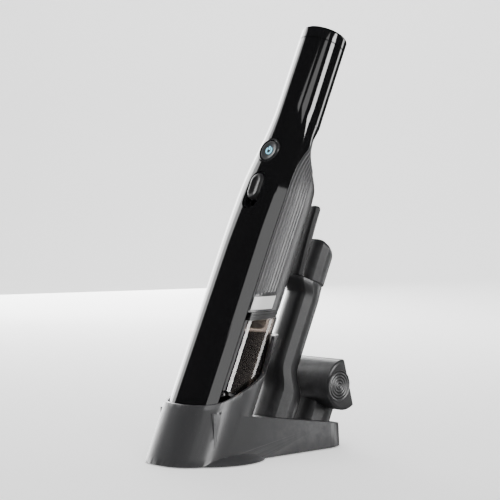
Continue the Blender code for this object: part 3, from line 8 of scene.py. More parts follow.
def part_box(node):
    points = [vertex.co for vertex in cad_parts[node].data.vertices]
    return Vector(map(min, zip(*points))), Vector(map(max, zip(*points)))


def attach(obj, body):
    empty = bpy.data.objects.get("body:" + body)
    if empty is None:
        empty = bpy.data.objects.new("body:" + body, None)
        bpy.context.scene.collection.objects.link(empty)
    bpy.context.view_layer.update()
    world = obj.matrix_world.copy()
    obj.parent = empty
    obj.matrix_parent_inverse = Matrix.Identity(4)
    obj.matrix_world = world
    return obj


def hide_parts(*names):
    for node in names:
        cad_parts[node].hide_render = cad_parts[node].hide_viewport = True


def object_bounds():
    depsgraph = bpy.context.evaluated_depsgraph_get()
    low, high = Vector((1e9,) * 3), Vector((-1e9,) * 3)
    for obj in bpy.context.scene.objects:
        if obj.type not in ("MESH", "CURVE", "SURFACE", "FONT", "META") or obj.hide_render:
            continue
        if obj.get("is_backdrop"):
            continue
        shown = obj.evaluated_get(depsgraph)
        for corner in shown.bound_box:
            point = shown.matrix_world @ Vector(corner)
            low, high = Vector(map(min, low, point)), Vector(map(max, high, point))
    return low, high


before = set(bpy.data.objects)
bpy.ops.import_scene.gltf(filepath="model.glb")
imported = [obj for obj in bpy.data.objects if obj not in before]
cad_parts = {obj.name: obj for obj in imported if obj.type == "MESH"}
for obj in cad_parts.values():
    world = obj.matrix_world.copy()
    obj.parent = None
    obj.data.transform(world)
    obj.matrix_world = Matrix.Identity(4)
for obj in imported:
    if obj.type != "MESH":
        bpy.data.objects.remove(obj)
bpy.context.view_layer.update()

# ---- the studio ----------------------------------------------------------------------------------------------------
# The whole set stands on a plain pale sweep under soft boxes. Gloss plastic shows little but what it mirrors, so the
# boxes are placed for the stripes they lay on the handle, the spine's flat facet and the dock.
FOOT_Y = -0.0784
VIEW_PITCH, VIEW_TURN = math.radians(87.81), math.radians(46.0)
SWEEP_HALF = 4.0


def put(name, data):
    """Puts a camera, a light or a mesh into the scene."""
    made = bpy.data.objects.new(name, data)
    bpy.context.scene.collection.objects.link(made)
    return made


def new_material(name):
    """A material, its node tree and its shader."""
    made = bpy.data.materials.new(name)
    made.use_nodes = True
    return made, made.node_tree, made.node_tree.nodes["Principled BSDF"]


camera = put("camera", bpy.data.cameras.new("camera"))
camera.location = (1.0723, -0.9607 + FOOT_Y, 0.2357)
camera.rotation_euler = (VIEW_PITCH, 0.0, VIEW_TURN)
camera.data.lens = 122.4
camera.data.sensor_width = 36.0
camera.data.clip_end = 50.0
bpy.context.scene.camera = camera

sweep_bm = bmesh.new()
sweep_rows = []
turn = Matrix.Rotation(VIEW_TURN, 3, "Z")
for along, height in ((-4.0, 0.0), (1.6, 0.0), (2.1, 0.04), (2.5, 0.18), (2.8, 0.42), (3.0, 0.8), (3.05, 3.2)):
    edges = [turn @ Vector((side, along, height)) for side in (-SWEEP_HALF, SWEEP_HALF)]
    sweep_rows.append([sweep_bm.verts.new(point) for point in edges])
for lower, upper in zip(sweep_rows, sweep_rows[1:]):
    sweep_bm.faces.new((lower[0], lower[1], upper[1], upper[0]))
sweep_mesh = bpy.data.meshes.new("pale sweep")
sweep_bm.to_mesh(sweep_mesh)
sweep_bm.free()
sweep_mesh.shade_smooth()
paper, _, paper_shader = new_material("pale paper")
paper_shader.inputs["Base Color"].default_value = (0.93, 0.93, 0.93, 1.0)
paper_shader.inputs["Roughness"].default_value = 0.9
paper_shader.inputs["Specular IOR Level"].default_value = 0.1
paper_shader.inputs["Emission Color"].default_value = (1.0, 1.0, 1.0, 1.0)
paper_shader.inputs["Emission Strength"].default_value = 0.48
sweep_mesh.materials.append(paper)
sweep = put("pale sweep", sweep_mesh)
sweep.visible_glossy = False
sweep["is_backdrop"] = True


def soft_box(name, place, aim, width, height, power, glossy=True, diffuse=True):
    """An area light that faces a point and that the camera does not see."""
    light = bpy.data.lights.new(name, "AREA")
    light.shape = "RECTANGLE"
    light.size, light.size_y = width, height
    light.energy = power
    lamp = put(name, light)
    lamp.location = place
    lamp.rotation_euler = (Vector(aim) - Vector(place)).to_track_quat("-Z", "Y").to_euler()
    lamp.visible_camera = False
    lamp.visible_glossy = glossy
    lamp.visible_diffuse = diffuse


MIDDLE = (0.0, 0.0, 0.18)
soft_box("paper wash", (0.3, -0.2, 2.4), MIDDLE, 2.4, 2.4, 62.0, glossy=False)
soft_box("backdrop wash", (-0.6, 0.9, 1.9), (-2.0, 2.2, 0.6), 2.0, 1.0, 60.0, glossy=False)
soft_box("facet box", (1.55, -0.62, 1.02), MIDDLE, 0.9, 0.8, 6.5)
soft_box("left rear box", (-1.62, 0.98, 0.30), MIDDLE, 0.9, 1.7, 52.0)
soft_box("left box", (-1.88, 0.20, 0.60), MIDDLE, 0.8, 1.5, 44.0, diffuse=False)
soft_box("left front box", (-1.86, -0.42, 0.90), MIDDLE, 0.5, 1.3, 8.0, diffuse=False)
soft_box("grip stripe box", (1.77, 0.62, 0.44), MIDDLE, 0.50, 1.3, 50.0, diffuse=False)
soft_box("overhead box", (0.98, -1.20, 1.40), MIDDLE, 0.5, 0.5, 2.2)
soft_box("right rear strip", (0.45, 1.6, 0.30), MIDDLE, 0.35, 1.3, 9.0)

world = bpy.data.worlds.new("studio air")
bpy.context.scene.world = world
world.use_nodes = True
air = world.node_tree
sky = air.nodes["Background"]
sky.inputs["Color"].default_value = (1.0, 1.0, 1.0, 1.0)
sky.inputs["Strength"].default_value = 0.06

# ---- the vacuum's front moulding -----------------------------------------------------------------------------------
# Spine and handle tube are one injection moulding in gloss black. A flat facet runs up each side of the spine and
# dies out under the hand; a round hole takes the power button and a long one the eject slider's track.
LEAN = math.radians(24.6)
LEANING = Matrix.Translation((0.0, FOOT_Y, 0.0)) @ Matrix.Rotation(-LEAN, 4, "X")
UPRIGHT = Matrix.Translation((0.0, FOOT_Y, 0.0))
FIT = 0.0004
SEAM = 0.0005
WALL = 0.0022
FULLNESS = 2.45
GRIP_RADIUS = 0.0210
GRIP_TOP = 0.4090
CAP_HEIGHT = 0.0120
SIDE, SPINE_DEPTH, REAR_DEPTH = 0.0310, 0.0265, 0.0363
WAIST, WAIST_DEPTH, HUMP, GRIP_START = 0.302, 0.0145, 0.262, 0.330
FACET_START, FACET_END, SEAM_EDGE = (math.radians(angle) for angle in (44.0, 65.0, 66.3))
SEAM_TURN, SEAM_TOP = 0.250, 0.320
MOUTH_HEIGHT, SHELL_HEIGHT = 0.0100, 0.1270
BUTTON_U, BUTTON_RADIUS = 0.2830, 0.0092


def ease(value, start, end, first, last):
    """Eases from first at start to last at end."""
    t = min(max((value - start) / (end - start), 0.0), 1.0)
    return first + (last - first) * t * t * (3.0 - 2.0 * t)


def body_size(u):
    """Half width, front depth, rear depth and fullness of the vacuum's section at u."""
    side = ease(u, SEAM_TURN - 0.012, GRIP_START, SIDE, GRIP_RADIUS)
    front = ease(u, SEAM_TURN - 0.060, GRIP_START, SPINE_DEPTH, GRIP_RADIUS)
    if u < WAIST:
        rear = ease(u, HUMP, WAIST - 0.004, REAR_DEPTH, WAIST_DEPTH)
    else:
        rear = ease(u, WAIST, GRIP_START - 0.006, WAIST_DEPTH, GRIP_RADIUS)
    return side, front, rear, ease(u, SEAM_TURN, GRIP_START, FULLNESS, 2.0)


def oval_point(angle, side, front, rear, fullness=FULLNESS):
    """A point of a full oval: angle 0 is the front, 90 degrees is the right side."""
    across, along = math.sin(angle), math.cos(angle)
    x = math.copysign(side * abs(across) ** (2.0 / fullness), across)
    depth = front if along > 0.0 else rear
    return x, math.copysign(depth * abs(along) ** (2.0 / fullness), -along)


def body_point(angle, u, inset=0.0):
    side, front, rear, fullness = body_size(u)
    x, v = oval_point(angle, side - inset, front - inset, rear - inset, fullness)
    return Vector((x, v, u))


def level_u(z, v):
    """u of a level plane at height z."""
    return (z + v * math.sin(LEAN)) / math.cos(LEAN)


def seam_angle(u):
    """The seam runs straight up the side, then swings round to the back."""
    t = min(max((u - SEAM_TURN) / (SEAM_TOP - SEAM_TURN), 0.0), 1.0)
    return SEAM_EDGE + (math.pi - SEAM_EDGE) * (1.0 - math.sqrt(1.0 - t * t))


def spine_point(angle, u):
    """A point of the spine, pulled onto the flat facet between the facet's two edges."""
    size = abs(angle)
    plain = body_point(angle, u)
    if not FACET_START < size < FACET_END:
        return plain
    sign = math.copysign(1.0, angle)
    share = (size - FACET_START) / (FACET_END - FACET_START)
    flat = body_point(sign * FACET_START, u).lerp(body_point(sign * FACET_END, u), share)
    return flat.lerp(plain, ease(u, 0.262, GRIP_START, 0.0, 1.0))


def skin(bm, rows, closed=False, caps=False):
    """Faces between rows of points of equal length."""
    laid = [[bm.verts.new(point) for point in row] for row in rows]
    count = len(laid[0])
    for lower, upper in zip(laid, laid[1:]):
        for i in range(count if closed else count - 1):
            j = (i + 1) % count
            bm.faces.new((lower[i], lower[j], upper[j], upper[i]))
    if caps:
        bm.faces.new(laid[0][::-1])
        bm.faces.new(laid[-1])
    return laid


def around(count):
    """Evenly spaced angles, once round."""
    return [2 * math.pi * i / count for i in range(count)]


def form(name, bm, place, finish=None, sheet=False, sharp=32.0):
    """A mesh object in its place at the origin. A sheet's faces are turned to look away from its own axis."""
    bmesh.ops.remove_doubles(bm, verts=bm.verts, dist=1e-6)
    bmesh.ops.recalc_face_normals(bm, faces=bm.faces)
    if sheet:
        look = sum(face.normal.dot(Vector((*face.calc_center_median().xy, 0.0))) for face in bm.faces)
        if look < 0.0:
            bmesh.ops.reverse_faces(bm, faces=bm.faces)
    bmesh.ops.transform(bm, matrix=place, verts=bm.verts)
    mesh = bpy.data.meshes.new(name)
    bm.to_mesh(mesh)
    bm.free()
    if finish:
        mesh.materials.append(finish)
    mesh.shade_smooth()
    mesh.set_sharp_from_angle(angle=math.radians(sharp))
    return put(name, mesh)


def block(name, rings, place, finish=None, caps=True, sharp=32.0):
    """A solid skinned over rings of points: capped at both ends, or else a loop of rings that meets itself."""
    bm = bmesh.new()
    skin(bm, rings if caps else rings + rings[:1], True, caps)
    return form(name, bm, place, finish, sharp=sharp)


def open_sheet(name, rows, place, finish, sharp=32.0):
    """An open sheet skinned over rows of points."""
    bm = bmesh.new()
    skin(bm, rows)
    return form(name, bm, place, finish, True, sharp)


def wall(made, thickness, offset=-1.0):
    step = made.modifiers.new("wall", "SOLIDIFY")
    step.thickness = thickness
    step.offset = offset
    step.use_even_offset = True


def soften(made, width, segments=3, angle=34.0):
    step = made.modifiers.new("soft edges", "BEVEL")
    step.width = width
    step.segments = segments
    step.limit_method = "ANGLE"
    step.angle_limit = math.radians(angle)
    step.harden_normals = True


def cut(made, cutter, operation="DIFFERENCE"):
    step = made.modifiers.new("cut", "BOOLEAN")
    step.operation = operation
    step.solver = "EXACT"
    step.object = cutter


def settle(made, sharp=32.0):
    """Fixes the modifiers into the mesh and clears away the cutters they used."""
    bpy.context.view_layer.update()
    graph = bpy.context.evaluated_depsgraph_get()
    mesh = bpy.data.meshes.new_from_object(made.evaluated_get(graph))
    used = [step.object for step in made.modifiers if step.type == "BOOLEAN"]
    made.modifiers.clear()
    made.data = mesh
    mesh.set_sharp_from_angle(angle=math.radians(sharp))
    for cutter in used:
        bpy.data.objects.remove(cutter, do_unlink=True)
    return made


def disc_loop(radius, place, count=48):
    """A ring of points round the v axis, for holes and buttons on the spine's face."""
    v, u = place
    return [Vector((radius * math.cos(a), v, u + radius * math.sin(a))) for a in around(count)]


def stadium(length, width, top, v, count=20):
    """A long rounded outline on the spine's face, given by its top end."""
    radius = width / 2
    upper, lower = top - radius, top - length + radius
    arc = [math.pi * i / count for i in range(count + 1)]
    ring = [Vector((radius * math.cos(a), v, upper + radius * math.sin(a))) for a in arc]
    return ring + [Vector((-radius * math.cos(a), v, lower - radius * math.sin(a))) for a in arc]


def node_group(name, kind, inputs, outputs):
    """An empty node group with named sockets, with what it is given and what it hands on."""
    group = bpy.data.node_groups.new(name, kind)
    for label, sort, value in inputs:
        socket = group.interface.new_socket(name=label, in_out="INPUT", socket_type=f"NodeSocket{sort}")
        if value is not None:
            socket.default_value = value
    for label, sort in outputs:
        group.interface.new_socket(name=label, in_out="OUTPUT", socket_type=f"NodeSocket{sort}")
    return group, group.nodes.new("NodeGroupInput").outputs, group.nodes.new("NodeGroupOutput").inputs


def wired(tree, kind, inputs, **settings):
    """A node with its settings. Each input takes a value, or a link from another node's output."""
    node = tree.nodes.new(kind)
    for label, value in settings.items():
        setattr(node, label, value)
    for place, value in inputs.items():
        if isinstance(value, bpy.types.NodeSocket):
            tree.links.new(value, node.inputs[place])
        else:
            node.inputs[place].default_value = value
    return node


def maths(tree, operation, *values):
    """The result of a maths node."""
    return wired(tree, "ShaderNodeMath", dict(enumerate(values)), operation=operation).outputs[0]


def noise(tree, coordinates, scale, detail=2.0, rough=0.5):
    """A noise value over the piece."""
    inputs = {"Vector": coordinates, "Scale": scale, "Detail": detail, "Roughness": rough}
    return wired(tree, "ShaderNodeTexNoise", inputs).outputs["Fac"]


def spread(tree, value, low, high, new_low, new_high):
    """Maps a range of values onto another, held at its ends."""
    inputs = dict(enumerate((value, low, high, new_low, new_high)))
    return wired(tree, "ShaderNodeMapRange", inputs).outputs[0]


def mixed(tree, share, first, second):
    """A colour mix of two sockets or colours."""
    return wired(tree, "ShaderNodeMix", {0: share, 6: first, 7: second}, data_type="RGBA").outputs[2]


def moulded_surface():
    """Shared effect: the grain of the mould, a faint mottle, smudges from handling, dust, and convex edges painted
    lighter, partly as rubbed wear and partly as a painted highlight along the edges.
    """
    group, given, made = node_group(
        "moulded surface",
        "ShaderNodeTree",
        [
            ("Colour", "Color", (0.05, 0.05, 0.05, 1.0)),
            ("Worn And Highlit Edge Colour", "Color", (0.2, 0.2, 0.2, 1.0)),
            ("Mottle", "Float", 0.1),
            ("Roughness", "Float", 0.4),
            ("Smudge", "Float", 0.1),
            ("Grain Scale", "Float", 1800.0),
            ("Rub", "Float", 0.3),
            ("Dust", "Float", 0.05),
        ],
        [("Colour", "Color"), ("Roughness", "Float"), ("Height", "Float")],
    )
    where = group.nodes.new("ShaderNodeTexCoord").outputs["Object"]
    shape = group.nodes.new("ShaderNodeNewGeometry")
    cloudy = noise(group, where, 34.0, 4.0, 0.6)
    wiped = noise(group, where, 90.0, 5.0, 0.65)
    grain = noise(group, where, given["Grain Scale"], 2.0, 0.6)
    specks = noise(group, where, 900.0, 1.0, 0.4)
    light = maths(group, "MULTIPLY", maths(group, "SUBTRACT", cloudy, 0.5), given["Mottle"])
    shade = {"Color": given["Colour"], "Value": maths(group, "ADD", 1.0, light)}
    bright = wired(group, "ShaderNodeHueSaturation", shade)
    # Sharp convex edges are painted lighter in broken runs: partly rubbed wear, partly a painted edge highlight.
    edge = spread(group, shape.outputs["Pointiness"], 0.515, 0.575, 0.0, 1.0)
    worn_and_highlit_edge = maths(group, "MULTIPLY", edge, spread(group, wiped, 0.35, 0.65, 0.3, 1.0))
    edge_wear_and_highlight = maths(group, "MULTIPLY", worn_and_highlit_edge, given["Rub"])
    settled = maths(group, "MULTIPLY", spread(group, specks, 0.66, 0.72, 0.0, 1.0), given["Dust"])
    colour = mixed(group, edge_wear_and_highlight, bright.outputs["Color"], given["Worn And Highlit Edge Colour"])
    colour = mixed(group, settled, colour, (0.30, 0.29, 0.27, 1.0))
    smudged = maths(group, "MULTIPLY", maths(group, "SUBTRACT", wiped, 0.42), given["Smudge"])
    rough = maths(group, "ADD", given["Roughness"], smudged)
    group.links.new(colour, made["Colour"])
    group.links.new(maths(group, "ADD", rough, maths(group, "MULTIPLY", settled, 0.5)), made["Roughness"])
    group.links.new(grain, made["Height"])
    return group


MOULDED = moulded_surface()


def moulded_plastic(
    name, colour, edge_wear_and_highlight, roughness, grain=1800.0, depth=0.03, mottle=0.15, smudge=0.12, rub=0.3, dust=0.04, metal=0.0
):
    """A moulded finish: the shared surface feeds colour, roughness and a fine bump, whose depth is in millimetres."""
    made, tree, shader = new_material(name)
    values = {
        "Colour": (*colour, 1.0), "Worn And Highlit Edge Colour": (*edge_wear_and_highlight, 1.0), "Mottle": mottle, "Roughness": roughness,
        "Smudge": smudge, "Grain Scale": grain, "Rub": rub, "Dust": dust,
    }
    surface = wired(tree, "ShaderNodeGroup", values, node_tree=MOULDED).outputs
    bump = wired(tree, "ShaderNodeBump", {"Strength": 1.0, "Distance": depth * 0.001, "Height": surface["Height"]})
    tree.links.new(surface["Colour"], shader.inputs["Base Color"])
    tree.links.new(surface["Roughness"], shader.inputs["Roughness"])
    tree.links.new(bump.outputs["Normal"], shader.inputs["Normal"])
    shader.inputs["Metallic"].default_value = metal
    return made


GLOSS_BLACK = moulded_plastic(
    "gloss black plastic", (0.0050, 0.0050, 0.0056), (0.020, 0.020, 0.022), 0.055,
    grain=420.0, depth=0.0008, smudge=0.05, rub=0.15, dust=0.02,
)


def spine_rows():
    front = [FACET_START * i / 26 for i in range(27)]
    front += [FACET_START + (FACET_END - FACET_START) * i / 8 for i in range(1, 9)]
    levels = [0.0420 + 0.0020 * i for i in range(int((GRIP_TOP - CAP_HEIGHT - FIT - 0.0420) / 0.0020) + 1)]
    levels.append(GRIP_TOP - CAP_HEIGHT - FIT)

    def angles(u):
        edge = seam_angle(u)
        half = front + [FACET_END + (edge - FACET_END) * i / 26 for i in range(1, 27)]
        return [-angle for angle in half[:0:-1]] + half

    rows = [[spine_point(angle, u) for angle in angles(u)] for u in levels]
    foot = [Vector((point.x, point.y, level_u(MOUTH_HEIGHT, point.y))) for point in rows[0]]
    between = [[low.lerp(high, share / 12) for low, high in zip(foot, rows[0])] for share in range(12)]
    return between + rows


front_housing = open_sheet("spine_and_handle", spine_rows(), LEANING, GLOSS_BLACK, 7.0)
wall(front_housing, WALL)
HOLE_RADIUS = BUTTON_RADIUS + 0.0024 + 0.0006
hole = [disc_loop(HOLE_RADIUS, (v, BUTTON_U), 72) for v in (-0.060, -0.004)]
cut(front_housing, block("button hole", hole, LEANING))
SLOT_TOP, SLOT_LENGTH, SLOT_WIDTH, SLOT_DEPTH = 0.2620, 0.0370, 0.0190, 0.0052
hole = [stadium(SLOT_LENGTH, SLOT_WIDTH, SLOT_TOP, v, 30) for v in (-0.060, -0.010)]
cut(front_housing, block("slot hole", hole, LEANING))
settle(front_housing, 7.0)
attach(front_housing, "main_body")
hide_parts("front_housing")

# ---- the handle's end cap ------------------------------------------------------------------------------------------
# A turned-looking lid in the same gloss black, pushed into the top of the tube. Its face is very slightly crowned and
# a fine groove shows where it meets the tube.
cap_foot = GRIP_TOP - CAP_HEIGHT
CAP_CORNER = 0.0025
plug_radius = GRIP_RADIUS - WALL - FIT
corner_arc = [math.pi / 2 * i / 10 for i in range(11)]
profile = [(0.0005, GRIP_TOP), (0.006, GRIP_TOP - 0.00002), (0.012, GRIP_TOP - 0.00008), (0.0160, GRIP_TOP - 0.0002)]
profile += [
    (GRIP_RADIUS - CAP_CORNER + CAP_CORNER * math.sin(a), GRIP_TOP - 0.0003 - CAP_CORNER + CAP_CORNER * math.cos(a))
    for a in corner_arc
]
profile += [(GRIP_RADIUS, cap_foot + 0.0006), (GRIP_RADIUS - 0.0007, cap_foot), (plug_radius, cap_foot)]
profile += [(plug_radius, cap_foot - 0.0050), (0.0005, cap_foot - 0.0050)]


def ring_at(radius, u, count=96):
    return [Vector((radius * math.cos(a), radius * math.sin(a), u)) for a in around(count)]


end_cap = block("handle_cap", [ring_at(radius, u) for radius, u in profile], LEANING, GLOSS_BLACK)
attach(end_cap, "main_body")
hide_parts("handle_end_cap")

# ---- the ribbed rear shell -----------------------------------------------------------------------------------------
# Satin grey moulding that closes the back of the body. Raised ribs follow the seam from under the handle's arch down
# to the label, for grip and to hide the air vents; behind them the wall is plain, with a window for the rear cover.
SATIN_GREY = moulded_plastic(
    "satin grey shell", (0.040, 0.040, 0.042), (0.16, 0.16, 0.165), 0.34,
    grain=2600.0, depth=0.012, mottle=0.18, smudge=0.10, rub=0.35,
)
RIB_PITCH, RIB_COUNT = 0.0033, 7
WINDOW_ANGLE = math.radians(152.0)
WINDOW_FOOT, WINDOW_TOP = 0.172, 0.246


def shell_half(u):
    """Angles from the seam round to the back: close together where the ribs are."""
    first = seam_angle(u) + SEAM / body_size(u)[2]
    ribbed = min(first + math.radians(58.0), math.pi - 0.12)
    turn = max(WINDOW_ANGLE, (ribbed + math.pi) / 2)
    side = [first + (ribbed - first) * i / 84 for i in range(85)]
    side += [ribbed + (turn - ribbed) * i / 10 for i in range(1, 11)]
    return side + [turn + (math.pi - turn) * i / 8 for i in range(1, 9)]


shell_levels = [WINDOW_FOOT + (WINDOW_TOP - WINDOW_FOOT) * i / 48 for i in range(49)]
shell_levels += [WINDOW_TOP + 0.0010 * i for i in range(1, int((SEAM_TOP - 0.0020 - WINDOW_TOP) / 0.0010) + 1)]
shell_levels += [0.3187, 0.3193, 0.3197]
shell_grid = []
for u in shell_levels:
    half = shell_half(u)
    ring = half + [2 * math.pi - angle for angle in half[-2::-1]]
    shell_grid.append([body_point(angle, u) for angle in ring])
foot = [Vector((p.x, p.y, level_u(SHELL_HEIGHT, p.y))) for p in shell_grid[0]]
shell_grid = [[a.lerp(b, share / 24) for a, b in zip(foot, shell_grid[0])] for share in range(24)] + shell_grid

shell_bm = bmesh.new()
from_seam = shell_bm.verts.layers.float.new("from_seam")
shell_verts = skin(shell_bm, shell_grid)
for row in shell_verts:
    middle = len(row) // 2
    for side in (row[: middle + 1], row[:middle:-1]):
        run = 0.0
        for before, vert in zip([side[0]] + side, side):
            run += (vert.co - before.co).length
            vert[from_seam] = run
window = []
for face in shell_bm.faces:
    spot = face.calc_center_median()
    edge = abs(body_point(WINDOW_ANGLE, spot.z).x)
    if WINDOW_FOOT < spot.z < WINDOW_TOP and spot.y > 0.0 and abs(spot.x) < edge:
        window.append(face)
bmesh.ops.delete(shell_bm, geom=window, context="FACES")
rear_shell = form("ribbed_rear_shell", shell_bm, LEANING, SATIN_GREY, sheet=True, sharp=60.0)


def growth(name, base, result, sizes):
    """An empty geometry tree that takes a piece, named sizes and a finish."""
    inputs = [(base, "Geometry", None), *sizes, ("Finish", "Material", None)]
    return node_group(name, "GeometryNodeTree", inputs, [(result, "Geometry")])


def finished(tree, grown, given, made):
    """Ends a geometry tree: instances are made real and take the finish."""
    real = wired(tree, "GeometryNodeRealizeInstances", {0: grown.outputs[0]})
    coat = wired(tree, "GeometryNodeSetMaterial", {"Geometry": real.outputs[0], "Material": given["Finish"]})
    tree.links.new(coat.outputs[0], made[0])
    return tree


def rib_tree():
    """Geometry nodes that raise rounded ribs along the seam, fading out at the foot and behind."""
    sizes = (("Pitch", "Float", RIB_PITCH), ("Ribs", "Float", float(RIB_COUNT)), ("Height", "Float", 0.0008))
    tree, given, made = growth("seam ribs", "Shell", "Ribbed Shell", sizes)
    run = wired(tree, "GeometryNodeInputNamedAttribute", {"Name": "from_seam"}, data_type="FLOAT")
    count = maths(tree, "DIVIDE", maths(tree, "SUBTRACT", run.outputs[0], 0.0006), given["Pitch"])
    wave = maths(tree, "COSINE", maths(tree, "MULTIPLY", count, 2.0 * math.pi))
    crest = maths(tree, "POWER", maths(tree, "MULTIPLY", maths(tree, "SUBTRACT", 1.0, wave), 0.5), 0.7)
    before_last, past_first = maths(tree, "LESS_THAN", count, given["Ribs"]), maths(tree, "GREATER_THAN", count, 0.0)
    inside = maths(tree, "MULTIPLY", before_last, past_first)
    place = tree.nodes.new("GeometryNodeInputPosition")
    height = wired(tree, "ShaderNodeSeparateXYZ", {0: place.outputs[0]}).outputs["Z"]
    rise = spread(tree, height, SHELL_HEIGHT + 0.0150, SHELL_HEIGHT + 0.0170, 0.0, 1.0)
    full = maths(tree, "MULTIPLY", rise, given["Height"])
    lift = maths(tree, "MULTIPLY", maths(tree, "MULTIPLY", crest, inside), full)
    normal = tree.nodes.new("GeometryNodeInputNormal").outputs[0]
    sunk = maths(tree, "SUBTRACT", lift, given["Height"])
    push = wired(tree, "ShaderNodeVectorMath", {0: normal, "Scale": sunk}, operation="SCALE")
    move = wired(tree, "GeometryNodeSetPosition", {"Geometry": given["Shell"], "Offset": push.outputs[0]})
    return finished(tree, move, given, made)


def grow(made, tree, **values):
    """Runs a node tree on a piece, with its inputs set by their sockets' identifiers, and keeps the plain mesh."""
    step = made.modifiers.new("grown", "NODES")
    step.node_group = tree
    for item in tree.interface.items_tree:
        label = item.name.replace(" ", "_").lower()
        if item.in_out == "INPUT" and label in values:
            step[item.identifier] = values[label]
    return made


grow(rear_shell, rib_tree(), pitch=RIB_PITCH, ribs=float(RIB_COUNT), height=0.0007, finish=SATIN_GREY)
wall(rear_shell, 0.0012)
settle(rear_shell, 60.0)
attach(rear_shell, "main_body")
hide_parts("rear_shell")

# ---- the rear cover and its release latch --------------------------------------------------------------------------
# A plain lid over the motor, clipped in the shell's window with an even shadow line. The latch sits in a notch at its
# foot and is pressed in with the thumb to free the dust cup.
LATCH_WIDTH, LATCH_HEIGHT = 0.0140, 0.0100
cover_first = WINDOW_ANGLE + 2 * FIT / REAR_DEPTH
cover_columns = [cover_first + (2 * math.pi - 2 * cover_first) * i / 36 for i in range(37)]
cover_levels = [WINDOW_FOOT + SEAM + (WINDOW_TOP - WINDOW_FOOT - 2 * SEAM) * i / 30 for i in range(31)]
cover_rows = [[body_point(angle, u) for angle in cover_columns] for u in cover_levels]
rear_cover = open_sheet("motor_cover", cover_rows, LEANING, SATIN_GREY)
wall(rear_cover, WALL)
half = LATCH_WIDTH / 2 + 0.0008
notch_corners = ((-half, 0.0), (half, 0.0), (half, 0.06), (-half, 0.06))
notch_ends = (WINDOW_FOOT - 0.010, WINDOW_FOOT + LATCH_HEIGHT + 0.0016)
cut(rear_cover, block("latch notch", [[Vector((x, v, u)) for x, v in notch_corners] for u in notch_ends], LEANING))
settle(rear_cover)
soften(rear_cover, 0.0004, 2, 50.0)
settle(rear_cover)
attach(rear_cover, "main_body")
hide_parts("rear_cover")

MATTE_BLACK = moulded_plastic(
    "matte black plastic", (0.012, 0.012, 0.013), (0.05, 0.05, 0.052), 0.44,
    grain=2200.0, depth=0.020, mottle=0.20, smudge=0.10,
)
rear = REAR_DEPTH + 0.0004
half, latch_foot = LATCH_WIDTH / 2, WINDOW_FOOT + 0.0008
steps = [(0.0, 0.0), (0.0016, 0.0), (0.0021, 0.0007), (0.0030, 0.0007), (0.0035, 0.0), (0.0044, 0.0), (0.0049, 0.0007)]
steps += [(0.0058, 0.0007), (0.0063, 0.0), (0.0072, 0.0), (0.0077, 0.0007), (0.0086, 0.0007), (0.0091, 0.0)]
steps.append((LATCH_HEIGHT, 0.0))
outline = [(rear - 0.0050, latch_foot)] + [(rear - sink, latch_foot + u) for u, sink in steps]
outline.append((rear - 0.0050, latch_foot + LATCH_HEIGHT))
latch = block("release_latch", [[Vector((x, v, u)) for v, u in outline] for x in (-half, half)], LEANING, MATTE_BLACK)
soften(latch, 0.00025, 2)
settle(latch)
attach(latch, "cup_release_latch")
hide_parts("cup_release_latch")

# ---- the joint collar ----------------------------------------------------------------------------------------------
# A matte black ring between shell and cup, level all round, with two fine grooves where the cup's bayonet seats.
CUP_FRONT = -0.0093
COLLAR_FOOT = 0.1200


def cup_ring(u_of, inset, steps=150):
    """The cup's D section: the body's outline behind a flat front wall."""
    side, front, rear, fullness = body_size(0.1)
    first = math.acos((-CUP_FRONT / front) ** (fullness / 2))
    ring = []
    for i in range(steps + 1):
        point = body_point(first + (2 * math.pi - 2 * first) * i / steps, 0.1, inset)
        v = max(point.y, CUP_FRONT + inset)
        ring.append(Vector((point.x, v, u_of(v))))
    start, end = ring[-1], ring[0]
    return ring + [start.lerp(end, i / 20) for i in range(1, 20)]


def level_ring(z, inset):
    return cup_ring(lambda v: level_u(z, v), inset)


collar_top = SHELL_HEIGHT - FIT
COLLAR_FACE, COLLAR_GROOVE, COLLAR_INSIDE = 0.0009, 0.0014, 0.0041
steps = [(COLLAR_FOOT, COLLAR_FACE)]
for low, high in ((0.1212, 0.1222), (0.1240, 0.1249)):
    steps += [(low, COLLAR_FACE), (low + 0.0002, COLLAR_GROOVE), (high - 0.0002, COLLAR_GROOVE), (high, COLLAR_FACE)]
steps += [(collar_top, COLLAR_FACE), (collar_top, COLLAR_INSIDE), (COLLAR_FOOT, COLLAR_INSIDE)]
collar = block("joint_ring", [level_ring(z, inset) for z, inset in steps], LEANING, MATTE_BLACK, caps=False)
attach(collar, "main_body")
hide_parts("joint_collar")

# ---- the label -----------------------------------------------------------------------------------------------------
# A thin white film on the right of the shell, left blank, with rounded corners and a faint printer's tooth.
WHITE_FILM = moulded_plastic(
    "white film", (0.80, 0.80, 0.79), (0.70, 0.70, 0.69), 0.38,
    grain=3500.0, depth=0.004, mottle=0.03, smudge=0.10, rub=0.0, dust=0.02,
)
LABEL_FOOT, LABEL_HEIGHT = 0.1290, 0.0110
label_first, label_last = SEAM_EDGE + math.radians(3.0), math.radians(103.0)
side, front, rear, fullness = body_size(0.15)
label_angles = [label_first + (label_last - label_first) * j / 30 for j in range(31)]
label_line = [oval_point(angle, side + FIT, front + FIT, rear + FIT, fullness) for angle in label_angles]
label_heights = [LABEL_FOOT + LABEL_HEIGHT * i / 12 for i in range(13)]
label_rows = [[Vector((x, v, level_u(z, v))) for x, v in label_line] for z in label_heights]
label = open_sheet("blank_label", label_rows, LEANING, WHITE_FILM)
wall(label, 0.0005, 1.0)
soften(label, 0.00015, 2, 60.0)
settle(label)
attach(label, "main_body")
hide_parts("label_plate")

